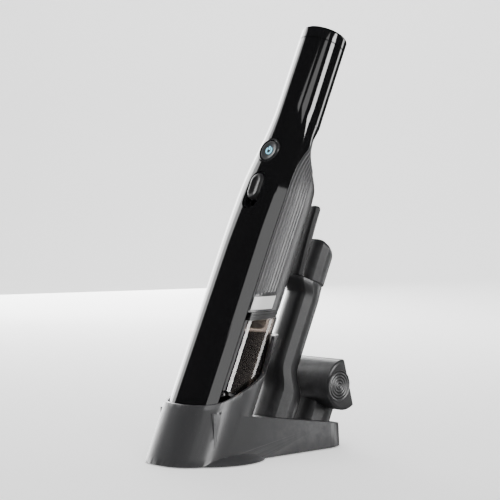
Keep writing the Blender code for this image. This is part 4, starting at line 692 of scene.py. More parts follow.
# ---- the side strips -----------------------------------------------------------------------------------------------
# A soft grey strip closes the joint between spine and cup on each side. Fine slanted ribs are moulded across its face.
STRIP_GREY = moulded_plastic(
    "soft grey strip", (0.065, 0.065, 0.067), (0.16, 0.16, 0.16), 0.50, grain=2400.0, depth=0.012, mottle=0.2, rub=0.3,
)
CUP_FOOT = 0.0640
strip_start = math.acos(((-CUP_FRONT + 0.0008) / SPINE_DEPTH) ** (FULLNESS / 2))
strip_end = SEAM_EDGE + 1.2 * SEAM / SIDE


def strip_ribs():
    """Geometry nodes that set small slanted ribs in a row along a strip's face."""
    sizes = (
        ("Count", "Int", 40), ("Slant", "Float", 0.5), ("Width", "Float", 0.002), ("Thickness", "Float", 0.0006),
        ("Start", "Vector", (0, 0, 0)), ("End", "Vector", (0, 0, 1)),
    )
    tree, given, made = growth("strip ribs", "Strip", "Ribs", sizes)
    ends = {"Count": given["Count"], "Start Location": given["Start"], "Offset": given["End"]}
    line = wired(tree, "GeometryNodeMeshLine", ends, mode="END_POINTS")
    size = wired(tree, "ShaderNodeCombineXYZ", {"X": 0.0010, "Y": given["Width"], "Z": given["Thickness"]})
    rib = wired(tree, "GeometryNodeMeshCube", {"Size": size.outputs[0]})
    turn = wired(tree, "ShaderNodeCombineXYZ", {"X": given["Slant"]})
    along = wired(tree, "FunctionNodeEulerToRotation", {0: turn.outputs[0]})
    row = {"Points": line.outputs[0], "Instance": rib.outputs["Mesh"], "Rotation": along.outputs[0]}
    laid_out = wired(tree, "GeometryNodeInstanceOnPoints", row)
    joined = wired(tree, "GeometryNodeJoinGeometry", {0: laid_out.outputs[0]})
    tree.links.new(given["Strip"], joined.inputs[0])
    return finished(tree, joined, given, made)


STRIP_RIBS = strip_ribs()
for side, name in ((1, "right"), (-1, "left")):
    near, far = body_point(strip_start, 0.1), body_point(strip_end, 0.1)
    section = [near, far, far - Vector((0.0022, -0.0016, 0)), near - Vector((0.0022, 0, 0))]
    rows = []
    for share in range(13):
        row = []
        for p in section:
            foot_u, top_u = CUP_FOOT, level_u(COLLAR_FOOT - FIT, p.y)
            row.append(Vector((side * (p.x - FIT - 0.0003), p.y, foot_u + (top_u - foot_u) * share / 12)))
        rows.append(row)
    strip = block(f"side_strip_{name}", rows, LEANING, STRIP_GREY)
    middle = (near + far) / 2
    ends = [LEANING @ Vector((side * (middle.x - 0.0006), middle.y, u)) for u in (CUP_FOOT + 0.0012, 0.1265)]
    grow(strip, STRIP_RIBS, count=46, slant=-LEAN + 0.55, width=(far - near).length * 0.86, thickness=0.00055,
         start=ends[0], end=ends[1], finish=STRIP_GREY)
    settle(strip)
    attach(strip, "main_body")
    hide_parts(f"side_strip_{name}")

# ---- the dust cup --------------------------------------------------------------------------------------------------
# Smoke-tinted clear plastic, polished inside and out, with a flat front wall that holds the inlet's window. Its open
# foot is closed by the door.
SMOKE, smoke_tree, smoke = new_material("smoked clear plastic")
smoke.inputs["Transmission Weight"].default_value = 1.0
smoke.inputs["IOR"].default_value = 1.46
smoke_where = smoke_tree.nodes.new("ShaderNodeTexCoord").outputs["Object"]
haze = noise(smoke_tree, smoke_where, 60.0, 4.0, 0.6)
smoke_tint = mixed(smoke_tree, haze, (0.300, 0.270, 0.250, 1.0), (0.400, 0.350, 0.320, 1.0))
smoke_tree.links.new(smoke_tint, smoke.inputs["Base Color"])
smears = noise(smoke_tree, smoke_where, 140.0, 5.0, 0.7)
smoke_tree.links.new(spread(smoke_tree, smears, 0.3, 0.7, 0.03, 0.09), smoke.inputs["Roughness"])
cup_top = COLLAR_FOOT - FIT
CUP_WALL = 0.0020


def cup_rings(inset):
    """Rings of the cup's wall, level at the top and square to the body at the foot."""
    rings = []
    for share in range(11):
        rings.append(cup_ring(lambda v: CUP_FOOT + (level_u(cup_top, v) - CUP_FOOT) * share / 10, inset))
    return rings


dust_cup = block("smoked_dust_cup", cup_rings(0.0) + cup_rings(CUP_WALL)[::-1], LEANING, SMOKE, caps=False)
corners = ((-0.0150, 0.0960), (0.0150, 0.0960), (0.0150, 0.1130), (-0.0150, 0.1130))
window_ends = (CUP_FRONT - 0.002, CUP_FRONT + CUP_WALL + 0.001)
cut(dust_cup, block("inlet window", [[Vector((x, v, u)) for x, u in corners] for v in window_ends], LEANING))
settle(dust_cup)
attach(dust_cup, "dust_cup")
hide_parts("dust_cup")

# ---- the power button ----------------------------------------------------------------------------------------------
# A dished, dark grey push button in a polished ring. The light guide in its middle is moulded as a power symbol: a
# broken ring and a short bar that glow pale blue while the battery charges.
BUTTON_TOP = -body_size(BUTTON_U)[1]
button_face = BUTTON_TOP + FIT
ring_steps = [(0.0116, 0.0050), (0.0116, 0.0002), (0.0113, -0.0002), (0.0108, -0.0004)]
ring_steps += [(0.0104, -0.0001), (0.0100, 0.0010), (0.0100, 0.0050)]
DARK_CHROME = moulded_plastic(
    "polished dark ring", (0.030, 0.030, 0.032), (0.08, 0.08, 0.08), 0.12,
    grain=600.0, depth=0.001, smudge=0.05, rub=0.2, dust=0.02,
)


def button_rings(steps):
    """Rings round the button's middle, each a radius and how far it is sunk."""
    return [disc_loop(radius, (button_face + v, BUTTON_U), 72) for radius, v in steps]


bezel = block("button_ring", button_rings(ring_steps), LEANING, DARK_CHROME, caps=False)
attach(bezel, "main_body")
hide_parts("power_bezel")

BUTTON_GREY = moulded_plastic(
    "button grey", (0.040, 0.041, 0.043), (0.10, 0.10, 0.10), 0.30, grain=2000.0, depth=0.006, smudge=0.08, rub=0.2,
)
dish = [(BUTTON_RADIUS, 0.0045), (BUTTON_RADIUS, 0.0006), (BUTTON_RADIUS - 0.0003, 0.0001)]
dish += [(BUTTON_RADIUS - 0.0008, 0.0), (0.0072, 0.0003), (0.0056, 0.0006), (0.0030, 0.0008), (0.0006, 0.0009)]
button = block("power_button_cap", button_rings(dish), LEANING, BUTTON_GREY)
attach(button, "power_button")
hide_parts("power_button")

GLOW, glow_tree, glow = new_material("pale blue light guide")
glow_where = glow_tree.nodes.new("ShaderNodeTexCoord").outputs["Object"]
glow_share = noise(glow_tree, glow_where, 700.0, 2.0, 0.5)
for label, dim, bright in (
    ("Base Color", (0.20, 0.55, 0.72, 1.0), (0.30, 0.70, 0.86, 1.0)),
    ("Emission Color", (0.18, 0.62, 0.86, 1.0), (0.32, 0.78, 0.98, 1.0)),
):
    glow_tree.links.new(mixed(glow_tree, glow_share, dim, bright), glow.inputs[label])
glow.inputs["Emission Strength"].default_value = 1.1
glow.inputs["Roughness"].default_value = 0.25
glow_bm = bmesh.new()
ring_v = button_face - 0.0001
GLOW_DEPTH, RING_INSIDE, RING_OUTSIDE = 0.0012, 0.0027, 0.0035
broken = [math.radians(90 + 38 + (360 - 76) * i / 40) for i in range(41)]
rows = []
ring_back = ring_v + GLOW_DEPTH
for radius, v in ((RING_INSIDE, ring_back), (RING_INSIDE, ring_v), (RING_OUTSIDE, ring_v), (RING_OUTSIDE, ring_back)):
    rows.append([Vector((radius * math.cos(a), v, BUTTON_U + radius * math.sin(a))) for a in broken])
skin(glow_bm, rows + rows[:1])
bmesh.ops.remove_doubles(glow_bm, verts=glow_bm.verts, dist=1e-7)
bmesh.ops.holes_fill(glow_bm, edges=glow_bm.edges, sides=0)
bar = [(-0.0004, 0.0008), (0.0004, 0.0008), (0.0004, 0.0040), (-0.0004, 0.0040)]
skin(glow_bm, [[Vector((x, v, BUTTON_U + u)) for x, u in bar] for v in (ring_v, ring_v + GLOW_DEPTH)], True, True)
symbol = form("power_symbol", glow_bm, LEANING, GLOW)
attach(symbol, "power_button")
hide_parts("power_light_guide")

# ---- the eject slider ----------------------------------------------------------------------------------------------
# A long dished track in gloss black holds an oval matte thumb slider. Pushing it down drives a flat rod behind the
# spine that trips the cup's door.
slot_face = -body_size(SLOT_TOP - SLOT_LENGTH / 2)[1] + 0.0010
track_steps = [(0.0006, SLOT_DEPTH), (0.0006, 0.0002), (0.0008, 0.0), (0.0016, 0.0), (0.0022, 0.0004)]
track_steps.append((0.0034, SLOT_DEPTH - 0.0013))
track_loops = [
    stadium(SLOT_LENGTH - 2 * inset, SLOT_WIDTH - 2 * inset, SLOT_TOP - inset, slot_face + v, 30)
    for inset, v in track_steps
]
slit = stadium(SLOT_LENGTH - 0.010, 0.0062, SLOT_TOP - 0.005, slot_face + SLOT_DEPTH - 0.0012, 30)
slit_back = [point + Vector((0, 0.0012, 0)) for point in slit]
track = block("slider_dish", track_loops + [slit, slit_back], LEANING, GLOSS_BLACK, caps=False)
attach(track, "main_body")
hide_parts("slider_track")

SLIDER_LENGTH, SLIDER_WIDTH = 0.0250, 0.0155
slider_top = SLOT_TOP - 0.0013 - 0.0008
cap_steps = [(0.0, SLOT_DEPTH - 0.0016), (0.0, 0.0010), (0.0004, -0.0002), (0.0012, -0.0011), (0.0024, -0.0016)]
cap_steps += [(0.0038, -0.0014), (0.0054, -0.0008), (0.0068, -0.0005), (0.0075, -0.0004)]
slider_rings = [
    stadium(SLIDER_LENGTH - 2 * inset, SLIDER_WIDTH - 2 * inset, slider_top - inset, slot_face + v, 26)
    for inset, v in cap_steps
]
slider = block("thumb_slider", slider_rings, LEANING, MATTE_BLACK, sharp=45.0)
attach(slider, "eject_slider")
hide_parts("eject_slider")

# ---- the dock ------------------------------------------------------------------------------------------------------
# One satin charcoal moulding: the boot that holds the nozzle, the hollow tray behind it with two pegs for the tools,
# and a low wing on each side that widens its stance. The boot repeats the vacuum's corner facet in its own walls.
# Its sharp edges are painted much lighter: partly rubbed wear, partly a painted edge highlight.
DOCK_GREY = moulded_plastic(
    "satin dock grey", (0.042, 0.042, 0.044), (0.20, 0.20, 0.205), 0.36,
    grain=1500.0, depth=0.014, mottle=0.12, smudge=0.10, rub=0.45,
)
BOOT_WIDEN, BOOT_FOOT_AHEAD, BOOT_RIM_AHEAD, BOOT_BEHIND = 0.0040, 0.0030, 0.0040, 0.0065
BOOT_FACET_START, BOOT_FACET_END = math.radians(45.0), math.radians(59.0)
RIM_FRONT, RIM_TURN, RIM_TURN_RADIUS, RIM_SLOPE = 0.0493, 0.0070, 0.0140, 0.385
RIM_KICK_Y, RIM_KICK, RIM_REAR = 0.0660, 375.0, 0.1050
DOCK_GAP, FLOOR, FLOOR_THICKNESS = 0.0012, MOUTH_HEIGHT - FIT, 0.0026
TRAY_HALF, TRAY_END, DECK, DECK_FALL, TRAY_WALL = 0.0350, 0.1740, 0.0444, 0.147, 0.0030
TABLE_GAP, TRAY_DRAFT, SEAT_TOP = 0.0008, 0.001, 0.200
SOCKET_RADIUS, SOCKET_Z = 0.0052, 0.0108
CREVICE_V, PET_V, PEG_HEIGHT = 0.0810, 0.1250, 0.0180


def boot_ring(z):
    front = [BOOT_FACET_START * i / 16 for i in range(1, 17)]
    front += [BOOT_FACET_START + (BOOT_FACET_END - BOOT_FACET_START) * i / 3 for i in range(1, 4)]
    half = front + [BOOT_FACET_END + (math.pi - BOOT_FACET_END) * i / 36 for i in range(1, 36)]
    angles = [0.0] + half + [math.pi] + [2 * math.pi - angle for angle in reversed(half)]
    centre = z * math.tan(LEAN)
    ahead = BOOT_FOOT_AHEAD + (BOOT_RIM_AHEAD - BOOT_FOOT_AHEAD) * min(z / RIM_FRONT, 1.0)
    depths = (SPINE_DEPTH / math.cos(LEAN) + ahead, REAR_DEPTH / math.cos(LEAN) + BOOT_BEHIND)

    def at(angle):
        x, y = oval_point(angle, SIDE + BOOT_WIDEN, *depths)
        return Vector((x, centre + y, z))

    ring = []
    for angle in angles:
        folded = angle if angle <= math.pi else 2 * math.pi - angle
        sign = 1.0 if angle <= math.pi else -1.0
        if BOOT_FACET_START < folded < BOOT_FACET_END:
            share = (folded - BOOT_FACET_START) / (BOOT_FACET_END - BOOT_FACET_START)
            ring.append(at(sign * BOOT_FACET_START).lerp(at(sign * BOOT_FACET_END), share))
        else:
            ring.append(at(angle))
    return ring


def rim_height(y):
    """The rim is level in front, climbs steadily, then sweeps up behind."""
    run = y - RIM_TURN
    climb = RIM_SLOPE * (math.hypot(run, RIM_TURN_RADIUS) + run) / 2
    return RIM_FRONT + climb + RIM_KICK * max(y - RIM_KICK_Y, 0.0) ** 2


def deck_height(y):
    return DECK - DECK_FALL * y


def deck_level(v, above=0.0):
    """u of the tray's sloping deck."""
    slope = math.cos(LEAN) + DECK_FALL * math.sin(LEAN)
    return (DECK + above + v * (math.sin(LEAN) - DECK_FALL * math.cos(LEAN))) / slope


def tray_ring(half, front, end, height):
    centre = end - half
    points = [(-half, front), (half, front)]
    points += [(half * math.cos(math.pi * i / 48), centre + half * math.sin(math.pi * i / 48)) for i in range(49)]
    return [Vector((x, y, height(y))) for x, y in points]


def oval_ring(half_width, half_depth, v, u_of, count=72):
    ring = []
    for i in range(count):
        x, depth = oval_point(2 * math.pi * i / count, half_width, half_depth, half_depth)
        ring.append(Vector((x, v + depth, u_of(v + depth))))
    return ring


levels = [TABLE_GAP + (RIM_REAR - TABLE_GAP) * i / 16 for i in range(17)]
dock = block("dock", [boot_ring(z) for z in levels], UPRIGHT, DOCK_GREY)
rim_line = [(-0.060 + 0.170 * i / 85, rim_height(-0.060 + 0.170 * i / 85)) for i in range(86)]
rim_line += [(0.110, 2.0), (-0.060, 2.0)]
cut(dock, block("rim cut", [[Vector((x, y, z)) for y, z in rim_line] for x in (-0.080, 0.080)], UPRIGHT))
tray = [
    tray_ring(TRAY_HALF, 0.0, TRAY_END, lambda y: TABLE_GAP),
    tray_ring(TRAY_HALF - TRAY_DRAFT, 0.0, TRAY_END - TRAY_DRAFT, deck_height),
]
cut(dock, block("tray", tray, UPRIGHT), "UNION")
for side in (-1, 1):
    wing_bm = bmesh.new()
    bmesh.ops.create_uvsphere(wing_bm, u_segments=96, v_segments=48, radius=1.0)
    bmesh.ops.scale(wing_bm, vec=(0.0310, 0.0440, 0.0130), verts=wing_bm.verts)
    bmesh.ops.translate(wing_bm, vec=(side * 0.0200, 0.0240, -0.0040), verts=wing_bm.verts)
    cut(dock, form("wing", wing_bm, UPRIGHT), "UNION")
corners = ((-0.1, -0.1), (0.1, -0.1), (0.1, 0.2), (-0.1, 0.2))
cut(dock, block("table cut", [[Vector((x, y, z)) for x, y in corners] for z in (-0.05, TABLE_GAP)], UPRIGHT))
seat_depths = (SPINE_DEPTH + DOCK_GAP, REAR_DEPTH + DOCK_GAP)
seat_line = [oval_point(angle, SIDE + DOCK_GAP, *seat_depths) for angle in around(120)]
seat = [[Vector((x, v, level_u(FLOOR, v))) for x, v in seat_line], [Vector((x, v, SEAT_TOP)) for x, v in seat_line]]
cut(dock, block("seat", seat, LEANING))
for v in (CREVICE_V, PET_V):
    peg = [
        oval_ring(0.0135, 0.0095, v, lambda d: deck_level(d, -0.004)),
        oval_ring(0.0125, 0.0085, v, lambda d: deck_level(d, PEG_HEIGHT)),
    ]
    cut(dock, block("peg", peg, LEANING), "UNION")
hollow_front = DECK * math.tan(LEAN) + REAR_DEPTH / math.cos(LEAN) + DOCK_GAP + TRAY_WALL
hollow_half, hollow_end = TRAY_HALF - TRAY_WALL, TRAY_END - TRAY_WALL
hollow = [
    tray_ring(hollow_half, hollow_front, hollow_end, lambda y: -0.010),
    tray_ring(hollow_half - 0.0008, hollow_front, hollow_end - 0.0008, lambda y: deck_height(y) - TRAY_WALL),
]
cut(dock, block("tray hollow", hollow, UPRIGHT))
plate_front = 0.0045 - SPINE_DEPTH / math.cos(LEAN) + hollow_half
plate_end = TRAY_END - TRAY_WALL - hollow_half
arc = [math.pi * i / 24 for i in range(25)]
plate = [(hollow_half * math.cos(a), plate_end + hollow_half * math.sin(a)) for a in arc]
plate += [(-hollow_half * math.cos(a), plate_front - hollow_half * math.sin(a)) for a in arc]
recess = [[Vector((x, y, z)) for x, y in plate] for z in (-0.01, FLOOR - FLOOR_THICKNESS)]
cut(dock, block("base recess", recess, UPRIGHT))
hole_line = [(SOCKET_RADIUS * math.cos(a), SOCKET_Z + SOCKET_RADIUS * math.sin(a)) for a in around(48)]
hole = [[Vector((x, y, z)) for x, z in hole_line] for y in (TRAY_END - 0.010, TRAY_END + 0.010)]
cut(dock, block("power hole", hole, UPRIGHT))
settle(dock, 22.0)
soften(dock, 0.0006, 3, 40.0)
settle(dock, 22.0)
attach(dock, "dock")
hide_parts("dock_shell")

# ---- the dock's small parts ----------------------------------------------------------------------------------------
# Black base plate closing the underside, four rubber feet, two sprung brass contacts, the charging board and the
# round power socket at the back.
RUBBER = moulded_plastic(
    "soft black rubber", (0.012, 0.012, 0.012), (0.05, 0.05, 0.05), 0.72,
    grain=1200.0, depth=0.030, mottle=0.25, rub=0.3, dust=0.12,
)
BRASS = moulded_plastic(
    "plated brass", (0.72, 0.50, 0.20), (0.85, 0.70, 0.40), 0.26,
    grain=2500.0, depth=0.003, mottle=0.15, rub=0.4, metal=1.0,
)
STEEL = moulded_plastic(
    "plain steel", (0.52, 0.52, 0.53), (0.75, 0.75, 0.76), 0.28,
    grain=2500.0, depth=0.004, mottle=0.12, rub=0.4, metal=1.0,
)
BOARD_GREEN = moulded_plastic(
    "solder mask", (0.018, 0.110, 0.045), (0.20, 0.30, 0.12), 0.36, grain=900.0, depth=0.020, mottle=0.35, rub=0.2,
)


def refinish(finish, *nodes):
    """Gives CAD nodes that stay as they are a worked-up finish."""
    for name in nodes:
        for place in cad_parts[name].material_slots:
            place.material = finish


refinish(MATTE_BLACK, "dock_base_plate", "power_socket")
refinish(RUBBER, "dock_foot_1", "dock_foot_2", "dock_foot_3", "dock_foot_4")
refinish(BRASS, "dock_contact_left", "dock_contact_right")
refinish(BOARD_GREEN, "charging_board")

# ---- the crevice tool ----------------------------------------------------------------------------------------------
# Blow-smooth charcoal tool: a wide plug with flat facets, a straight tube that swells forward at the shoulder, and a
# thin tip that runs up in front of the duster brush. It stands on the dock's first peg.
# Its sharp edges are painted much lighter: partly rubbed wear, partly a painted edge highlight.
TOOL_GREY = moulded_plastic(
    "charcoal tool plastic", (0.015, 0.015, 0.016), (0.13, 0.13, 0.135), 0.33,
    grain=1700.0, depth=0.012, mottle=0.15, smudge=0.12, rub=0.45,
)
PLUG_HALF_WIDTH, PLUG_HALF_DEPTH, PLUG_WALL, PLUG_HEIGHT = 0.0200, 0.0160, 0.0026, 0.0200
TUBE_V, TUBE_HALF_WIDTH, TUBE_HALF_DEPTH = 0.0720, 0.0155, 0.0130
SHOULDER, BEND, TIP_TOP, TIP_V, TIP_HALF_WIDTH, TIP_HALF_DEPTH = 0.1945, 0.1800, 0.2620, 0.0535, 0.0060, 0.0038
FACET_TURN = (math.radians(48.0), math.radians(82.0))


def tool_ring(u, v, half_width, half_depth, count=84):
    """A ring of a tool: a full oval whose right and left front corners are planed to flat facets."""
    first, last = FACET_TURN

    def at(angle):
        return oval_point(angle, half_width, half_depth, half_depth)

    angles = [first * i / 14 for i in range(14)] + [first + (last - first) * i / 6 for i in range(6)]
    angles += [last + (math.pi - last) * i / 22 for i in range(22)]
    ring = []
    for sign, run in ((1.0, angles), (-1.0, [math.pi] + angles[:0:-1])):
        for angle in run:
            if first < angle < last:
                share = (angle - first) / (last - first)
                (x0, d0), (x1, d1) = at(first), at(last)
                x, depth = x0 + (x1 - x0) * share, d0 + (d1 - d0) * share
            else:
                x, depth = at(angle)
            ring.append(Vector((sign * x, v + depth, deck_level(v + depth, FIT) if u is None else u)))
    return ring


plug_top = deck_level(CREVICE_V, PLUG_HEIGHT)
swell = (TUBE_V - TUBE_HALF_DEPTH - TIP_V + TIP_HALF_DEPTH) / 2
stations = [
    (None, CREVICE_V, PLUG_HALF_WIDTH, PLUG_HALF_DEPTH),
    (plug_top, CREVICE_V, PLUG_HALF_WIDTH, PLUG_HALF_DEPTH),
]
for i in range(1, 17):
    share = i / 16
    stations.append((
        plug_top + 0.026 * share,
        ease(share, 0.0, 1.0, CREVICE_V, TUBE_V),
        ease(share, 0.0, 1.0, PLUG_HALF_WIDTH, TUBE_HALF_WIDTH),
        ease(share, 0.0, 1.0, PLUG_HALF_DEPTH, TUBE_HALF_DEPTH),
    ))
for i in range(1, 21):
    u = plug_top + 0.026 + (BEND - plug_top - 0.026) * i / 20
    stations.append((u, TUBE_V, TUBE_HALF_WIDTH, TUBE_HALF_DEPTH))
for i in range(1, 9):
    grown = swell * ease(i / 8, 0.0, 1.0, 0.0, 1.0)
    u = BEND + (SHOULDER - 0.0008 - BEND) * i / 8
    stations.append((u, TUBE_V - grown, TUBE_HALF_WIDTH, TUBE_HALF_DEPTH + grown))
stations += [
    (SHOULDER - 0.0003, TUBE_V - swell, TUBE_HALF_WIDTH - 0.0006, TUBE_HALF_DEPTH + swell - 0.0006),
    (SHOULDER, TIP_V + 0.001, TIP_HALF_WIDTH + 0.0052, TIP_HALF_DEPTH + 0.0004),
    (SHOULDER + 0.003, TIP_V, TIP_HALF_WIDTH + 0.0046, TIP_HALF_DEPTH),
]
for i in range(1, 15):
    u = SHOULDER + 0.003 + (TIP_TOP - SHOULDER - 0.005) * i / 14
    stations.append((u, TIP_V, TIP_HALF_WIDTH + 0.0046 * (1 - i / 14) ** 1.6, TIP_HALF_DEPTH))
stations += [
    (TIP_TOP - 0.0007, TIP_V, TIP_HALF_WIDTH - 0.0006, TIP_HALF_DEPTH - 0.0005),
    (TIP_TOP, TIP_V, TIP_HALF_WIDTH - 0.0014, TIP_HALF_DEPTH - 0.0012),
]
crevice = block("crevice_nozzle", [tool_ring(*station) for station in stations], LEANING, TOOL_GREY, sharp=14.0)
PLUG_BORE = (PLUG_HALF_WIDTH - PLUG_WALL, PLUG_HALF_DEPTH - PLUG_WALL)
TUBE_BORE = (TUBE_HALF_WIDTH - PLUG_WALL, TUBE_HALF_DEPTH - PLUG_WALL)


def bore_rings(stations):
    """Level rings of a bore, each a height, its middle and its half width and depth."""
    return [oval_ring(half_width, half_depth, v, lambda d, u=u: u, 48) for u, v, half_width, half_depth in stations]


bore = [
    (deck_level(CREVICE_V) - 0.012, CREVICE_V, *PLUG_BORE),
    (plug_top, CREVICE_V, *PLUG_BORE),
    (plug_top + 0.026, TUBE_V, *TUBE_BORE),
    (BEND, TUBE_V, *TUBE_BORE),
    (SHOULDER - 0.0075, TUBE_V, *TUBE_BORE),
    (SHOULDER - 0.0010, TIP_V, TIP_HALF_WIDTH + 0.003, TIP_HALF_DEPTH - 0.0014),
    (TIP_TOP + 0.003, TIP_V, TIP_HALF_WIDTH - 0.0018, TIP_HALF_DEPTH - 0.0016),
]
cut(crevice, block("crevice bore", bore_rings(bore), LEANING))
settle(crevice, 14.0)
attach(crevice, "crevice_tool")
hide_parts("crevice_tool")

# ---- the duster brush ----------------------------------------------------------------------------------------------
# A short holder that slides up the crevice tool's shoulder. Its top slopes to the rear round a mouth packed with soft
# bristles, trimmed just under the rim.
BRUSH_V, BRUSH_HALF_WIDTH, BRUSH_HALF_DEPTH, BRUSH_RIM = 0.0740, 0.0150, 0.0110, 0.0045
BRUSH_FOOT, BRUSH_TOP, BRUSH_SLOPE = 0.1955, 0.2370, 0.50


def brush_ring(u, inset, sloped=True):
    front = BRUSH_V - BRUSH_HALF_DEPTH
    ring = tool_ring(u, BRUSH_V, BRUSH_HALF_WIDTH - inset, BRUSH_HALF_DEPTH - inset)
    return [Vector((p.x, p.y, u - (BRUSH_SLOPE * (p.y - front) if sloped else 0.0))) for p in ring]


brush_rings = [brush_ring(BRUSH_FOOT, 0.0004, False), brush_ring(BRUSH_FOOT + 0.0004, 0.0, False)]
brush_rings.append(brush_ring(BRUSH_TOP - 0.006, 0.0))
brush_rings += [
    brush_ring(BRUSH_TOP - 0.006 + 0.006 * math.sin(math.pi / 2 * i / 8), 0.0040 * (1 - math.cos(math.pi / 2 * i / 8)))
    for i in range(1, 9)
]
brush = block("duster_brush_holder", brush_rings, LEANING, TOOL_GREY, sharp=14.0)
mouth = [brush_ring(u, BRUSH_RIM, False) for u in (BRUSH_FOOT + 0.010, BRUSH_TOP + 0.002)]
cut(brush, block("brush mouth", mouth, LEANING))
settle(brush, 14.0)
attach(brush, "brush_slide")
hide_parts("brush_slide")

BRISTLE = moulded_plastic(
    "black bristle", (0.022, 0.022, 0.024), (0.12, 0.12, 0.12), 0.55,
    grain=3000.0, depth=0.010, mottle=0.5, rub=0.4, dust=0.05,
)


def bristle_tree():
    """Geometry nodes that stand thin tapered bristles on every point of a pad, each a little off true."""
    sizes = (
        ("Length", "Float", 0.006), ("Radius", "Float", 0.0002), ("Spacing", "Float", 0.0008),
        ("Splay", "Float", 0.1), ("Seed", "Int", 3),
    )
    tree, given, made = growth("bristles", "Pad", "Bristles", sizes)
    spots = {"Mesh": given["Pad"], "Distance Min": given["Spacing"], "Density Max": 4000000.0, "Seed": given["Seed"]}
    scatter = wired(tree, "GeometryNodeDistributePointsOnFaces", spots, distribute_method="POISSON")
    tip = maths(tree, "MULTIPLY", given["Radius"], 0.35)
    shape = {"Vertices": 5, "Radius Top": tip, "Radius Bottom": given["Radius"], "Depth": given["Length"]}
    hair = wired(tree, "GeometryNodeMeshCone", shape)
    lean = wired(tree, "FunctionNodeRandomValue", {"Seed": given["Seed"]}, data_type="FLOAT_VECTOR")
    for socket, sign in zip(lean.inputs, (-1.0, 1.0)):
        reach = maths(tree, "MULTIPLY", given["Splay"], sign)
        tree.links.new(wired(tree, "ShaderNodeCombineXYZ", {"X": reach, "Y": reach}).outputs[0], socket)
    tilt = wired(tree, "FunctionNodeEulerToRotation", {0: lean.outputs[0]})
    turned = {0: scatter.outputs["Rotation"], 1: tilt.outputs[0]}
    stand = wired(tree, "FunctionNodeRotateRotation", turned, rotation_space="LOCAL")
    planted = {"Points": scatter.outputs["Points"], "Instance": hair.outputs["Mesh"], "Rotation": stand.outputs[0]}
    return finished(tree, wired(tree, "GeometryNodeInstanceOnPoints", planted), given, made)


BRISTLES = bristle_tree()


def bristle_pad(name, points, out, place):
    """One face for bristles to stand on, turned to look out."""
    bm = bmesh.new()
    bm.faces.new([bm.verts.new(point) for point in points])
    bm.normal_update()
    if bm.faces[:][0].normal.dot(out) < 0.0:
        bmesh.ops.reverse_faces(bm, faces=bm.faces)
    bmesh.ops.transform(bm, matrix=place, verts=bm.verts)
    mesh = bpy.data.meshes.new(name)
    bm.to_mesh(mesh)
    bm.free()
    return put(name, mesh)


tuft = bristle_pad("duster_tuft", brush_ring(BRUSH_TOP - 0.0050, BRUSH_RIM + 0.0006), Vector((0.0, 0.0, 1.0)), LEANING)
grow(tuft, BRISTLES, length=0.0060, radius=0.00028, spacing=0.00075, splay=0.10, seed=7, finish=BRISTLE)
settle(tuft)
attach(tuft, "brush_slide")
refinish(BRISTLE, "duster_bristles")

# ---- the pet tool --------------------------------------------------------------------------------------------------
# A wide round-backed head, open along its rear, on a neck that plugs onto the second peg. A rippled disc closes each
# cheek over the bearing of the bristle bar that rocks inside.
PET_HALF, PET_Y, PET_Z, PET_RADIUS, PET_WALL = 0.0350, 0.1600, 0.0560, 0.0230, 0.0025
PET_MOUTH_TILT, PET_MOUTH_AHEAD = math.radians(16.0), 0.0055


def pet_outline(shrink=0.0):
    start = math.acos(PET_MOUTH_AHEAD / PET_RADIUS)
    radius, points = PET_RADIUS - shrink, []
    for i in range(65):
        angle = PET_MOUTH_TILT + start + (2 * math.pi - 2 * start) * i / 64
        points.append((PET_Y + radius * math.cos(angle), PET_Z + radius * math.sin(angle)))
    return points


cheeks = [(-PET_HALF, 0.0020), (-PET_HALF + 0.0006, 0.0008), (-PET_HALF + 0.0018, 0.0), (PET_HALF - 0.0018, 0.0)]
cheeks += [(PET_HALF - 0.0006, 0.0008), (PET_HALF, 0.0020)]
head_rings = [[Vector((x, y, z)) for y, z in pet_outline(shrink)] for x, shrink in cheeks]
pet_head = block("pet_head", head_rings, UPRIGHT, TOOL_GREY)
pet_top = deck_level(PET_V, PLUG_HEIGHT)
neck_top = pet_top + 0.012
neck = [(None, PET_V, PLUG_HALF_WIDTH, PLUG_HALF_DEPTH), (pet_top - 0.004, PET_V, PLUG_HALF_WIDTH, PLUG_HALF_DEPTH)]
neck += [
    (
        pet_top - 0.004 + 0.016 * i / 8,
        ease(i / 8, 0.0, 1.0, PET_V, PET_V - 0.004),
        ease(i / 8, 0.0, 1.0, PLUG_HALF_WIDTH, PLUG_HALF_WIDTH + 0.003),
        ease(i / 8, 0.0, 1.0, PLUG_HALF_DEPTH, PLUG_HALF_DEPTH - 0.004),
    )
    for i in range(1, 9)
]
cut(pet_head, block("pet neck", [tool_ring(*station) for station in neck], LEANING, sharp=14.0), "UNION")
normal = Vector((0.0, math.cos(PET_MOUTH_TILT), math.sin(PET_MOUTH_TILT)))
across = Vector((0.0, -normal.z, normal.y))
face = Vector((0.0, PET_Y, PET_Z)) + normal * PET_MOUTH_AHEAD
tall = math.sqrt(PET_RADIUS ** 2 - PET_MOUTH_AHEAD ** 2) - PET_WALL
deep = PET_MOUTH_AHEAD + PET_RADIUS - PET_WALL
room = [(0.003, tall), (-deep * 0.55, tall), (-deep, tall * 0.45)]
room += [(depth, -height) for depth, height in reversed(room)]
cavity = [face + normal * depth + across * height for depth, height in room]
inner = PET_HALF - PET_WALL
cavity_ends = [[Vector((x, p.y, p.z)) for p in cavity] for x in (-inner, inner)]
cut(pet_head, block("pet cavity", cavity_ends, UPRIGHT))
throat = [
    (deck_level(PET_V) - 0.014, PET_V, *PLUG_BORE),
    (pet_top - 0.004, PET_V, *PLUG_BORE),
    (neck_top + 0.002, PET_V - 0.004, PLUG_HALF_WIDTH, PLUG_HALF_DEPTH - 0.004 - PLUG_WALL),
]
cut(pet_head, block("pet throat", bore_rings(throat), LEANING))
settle(pet_head, 16.0)
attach(pet_head, "pet_tool")
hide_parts("pet_tool_head")

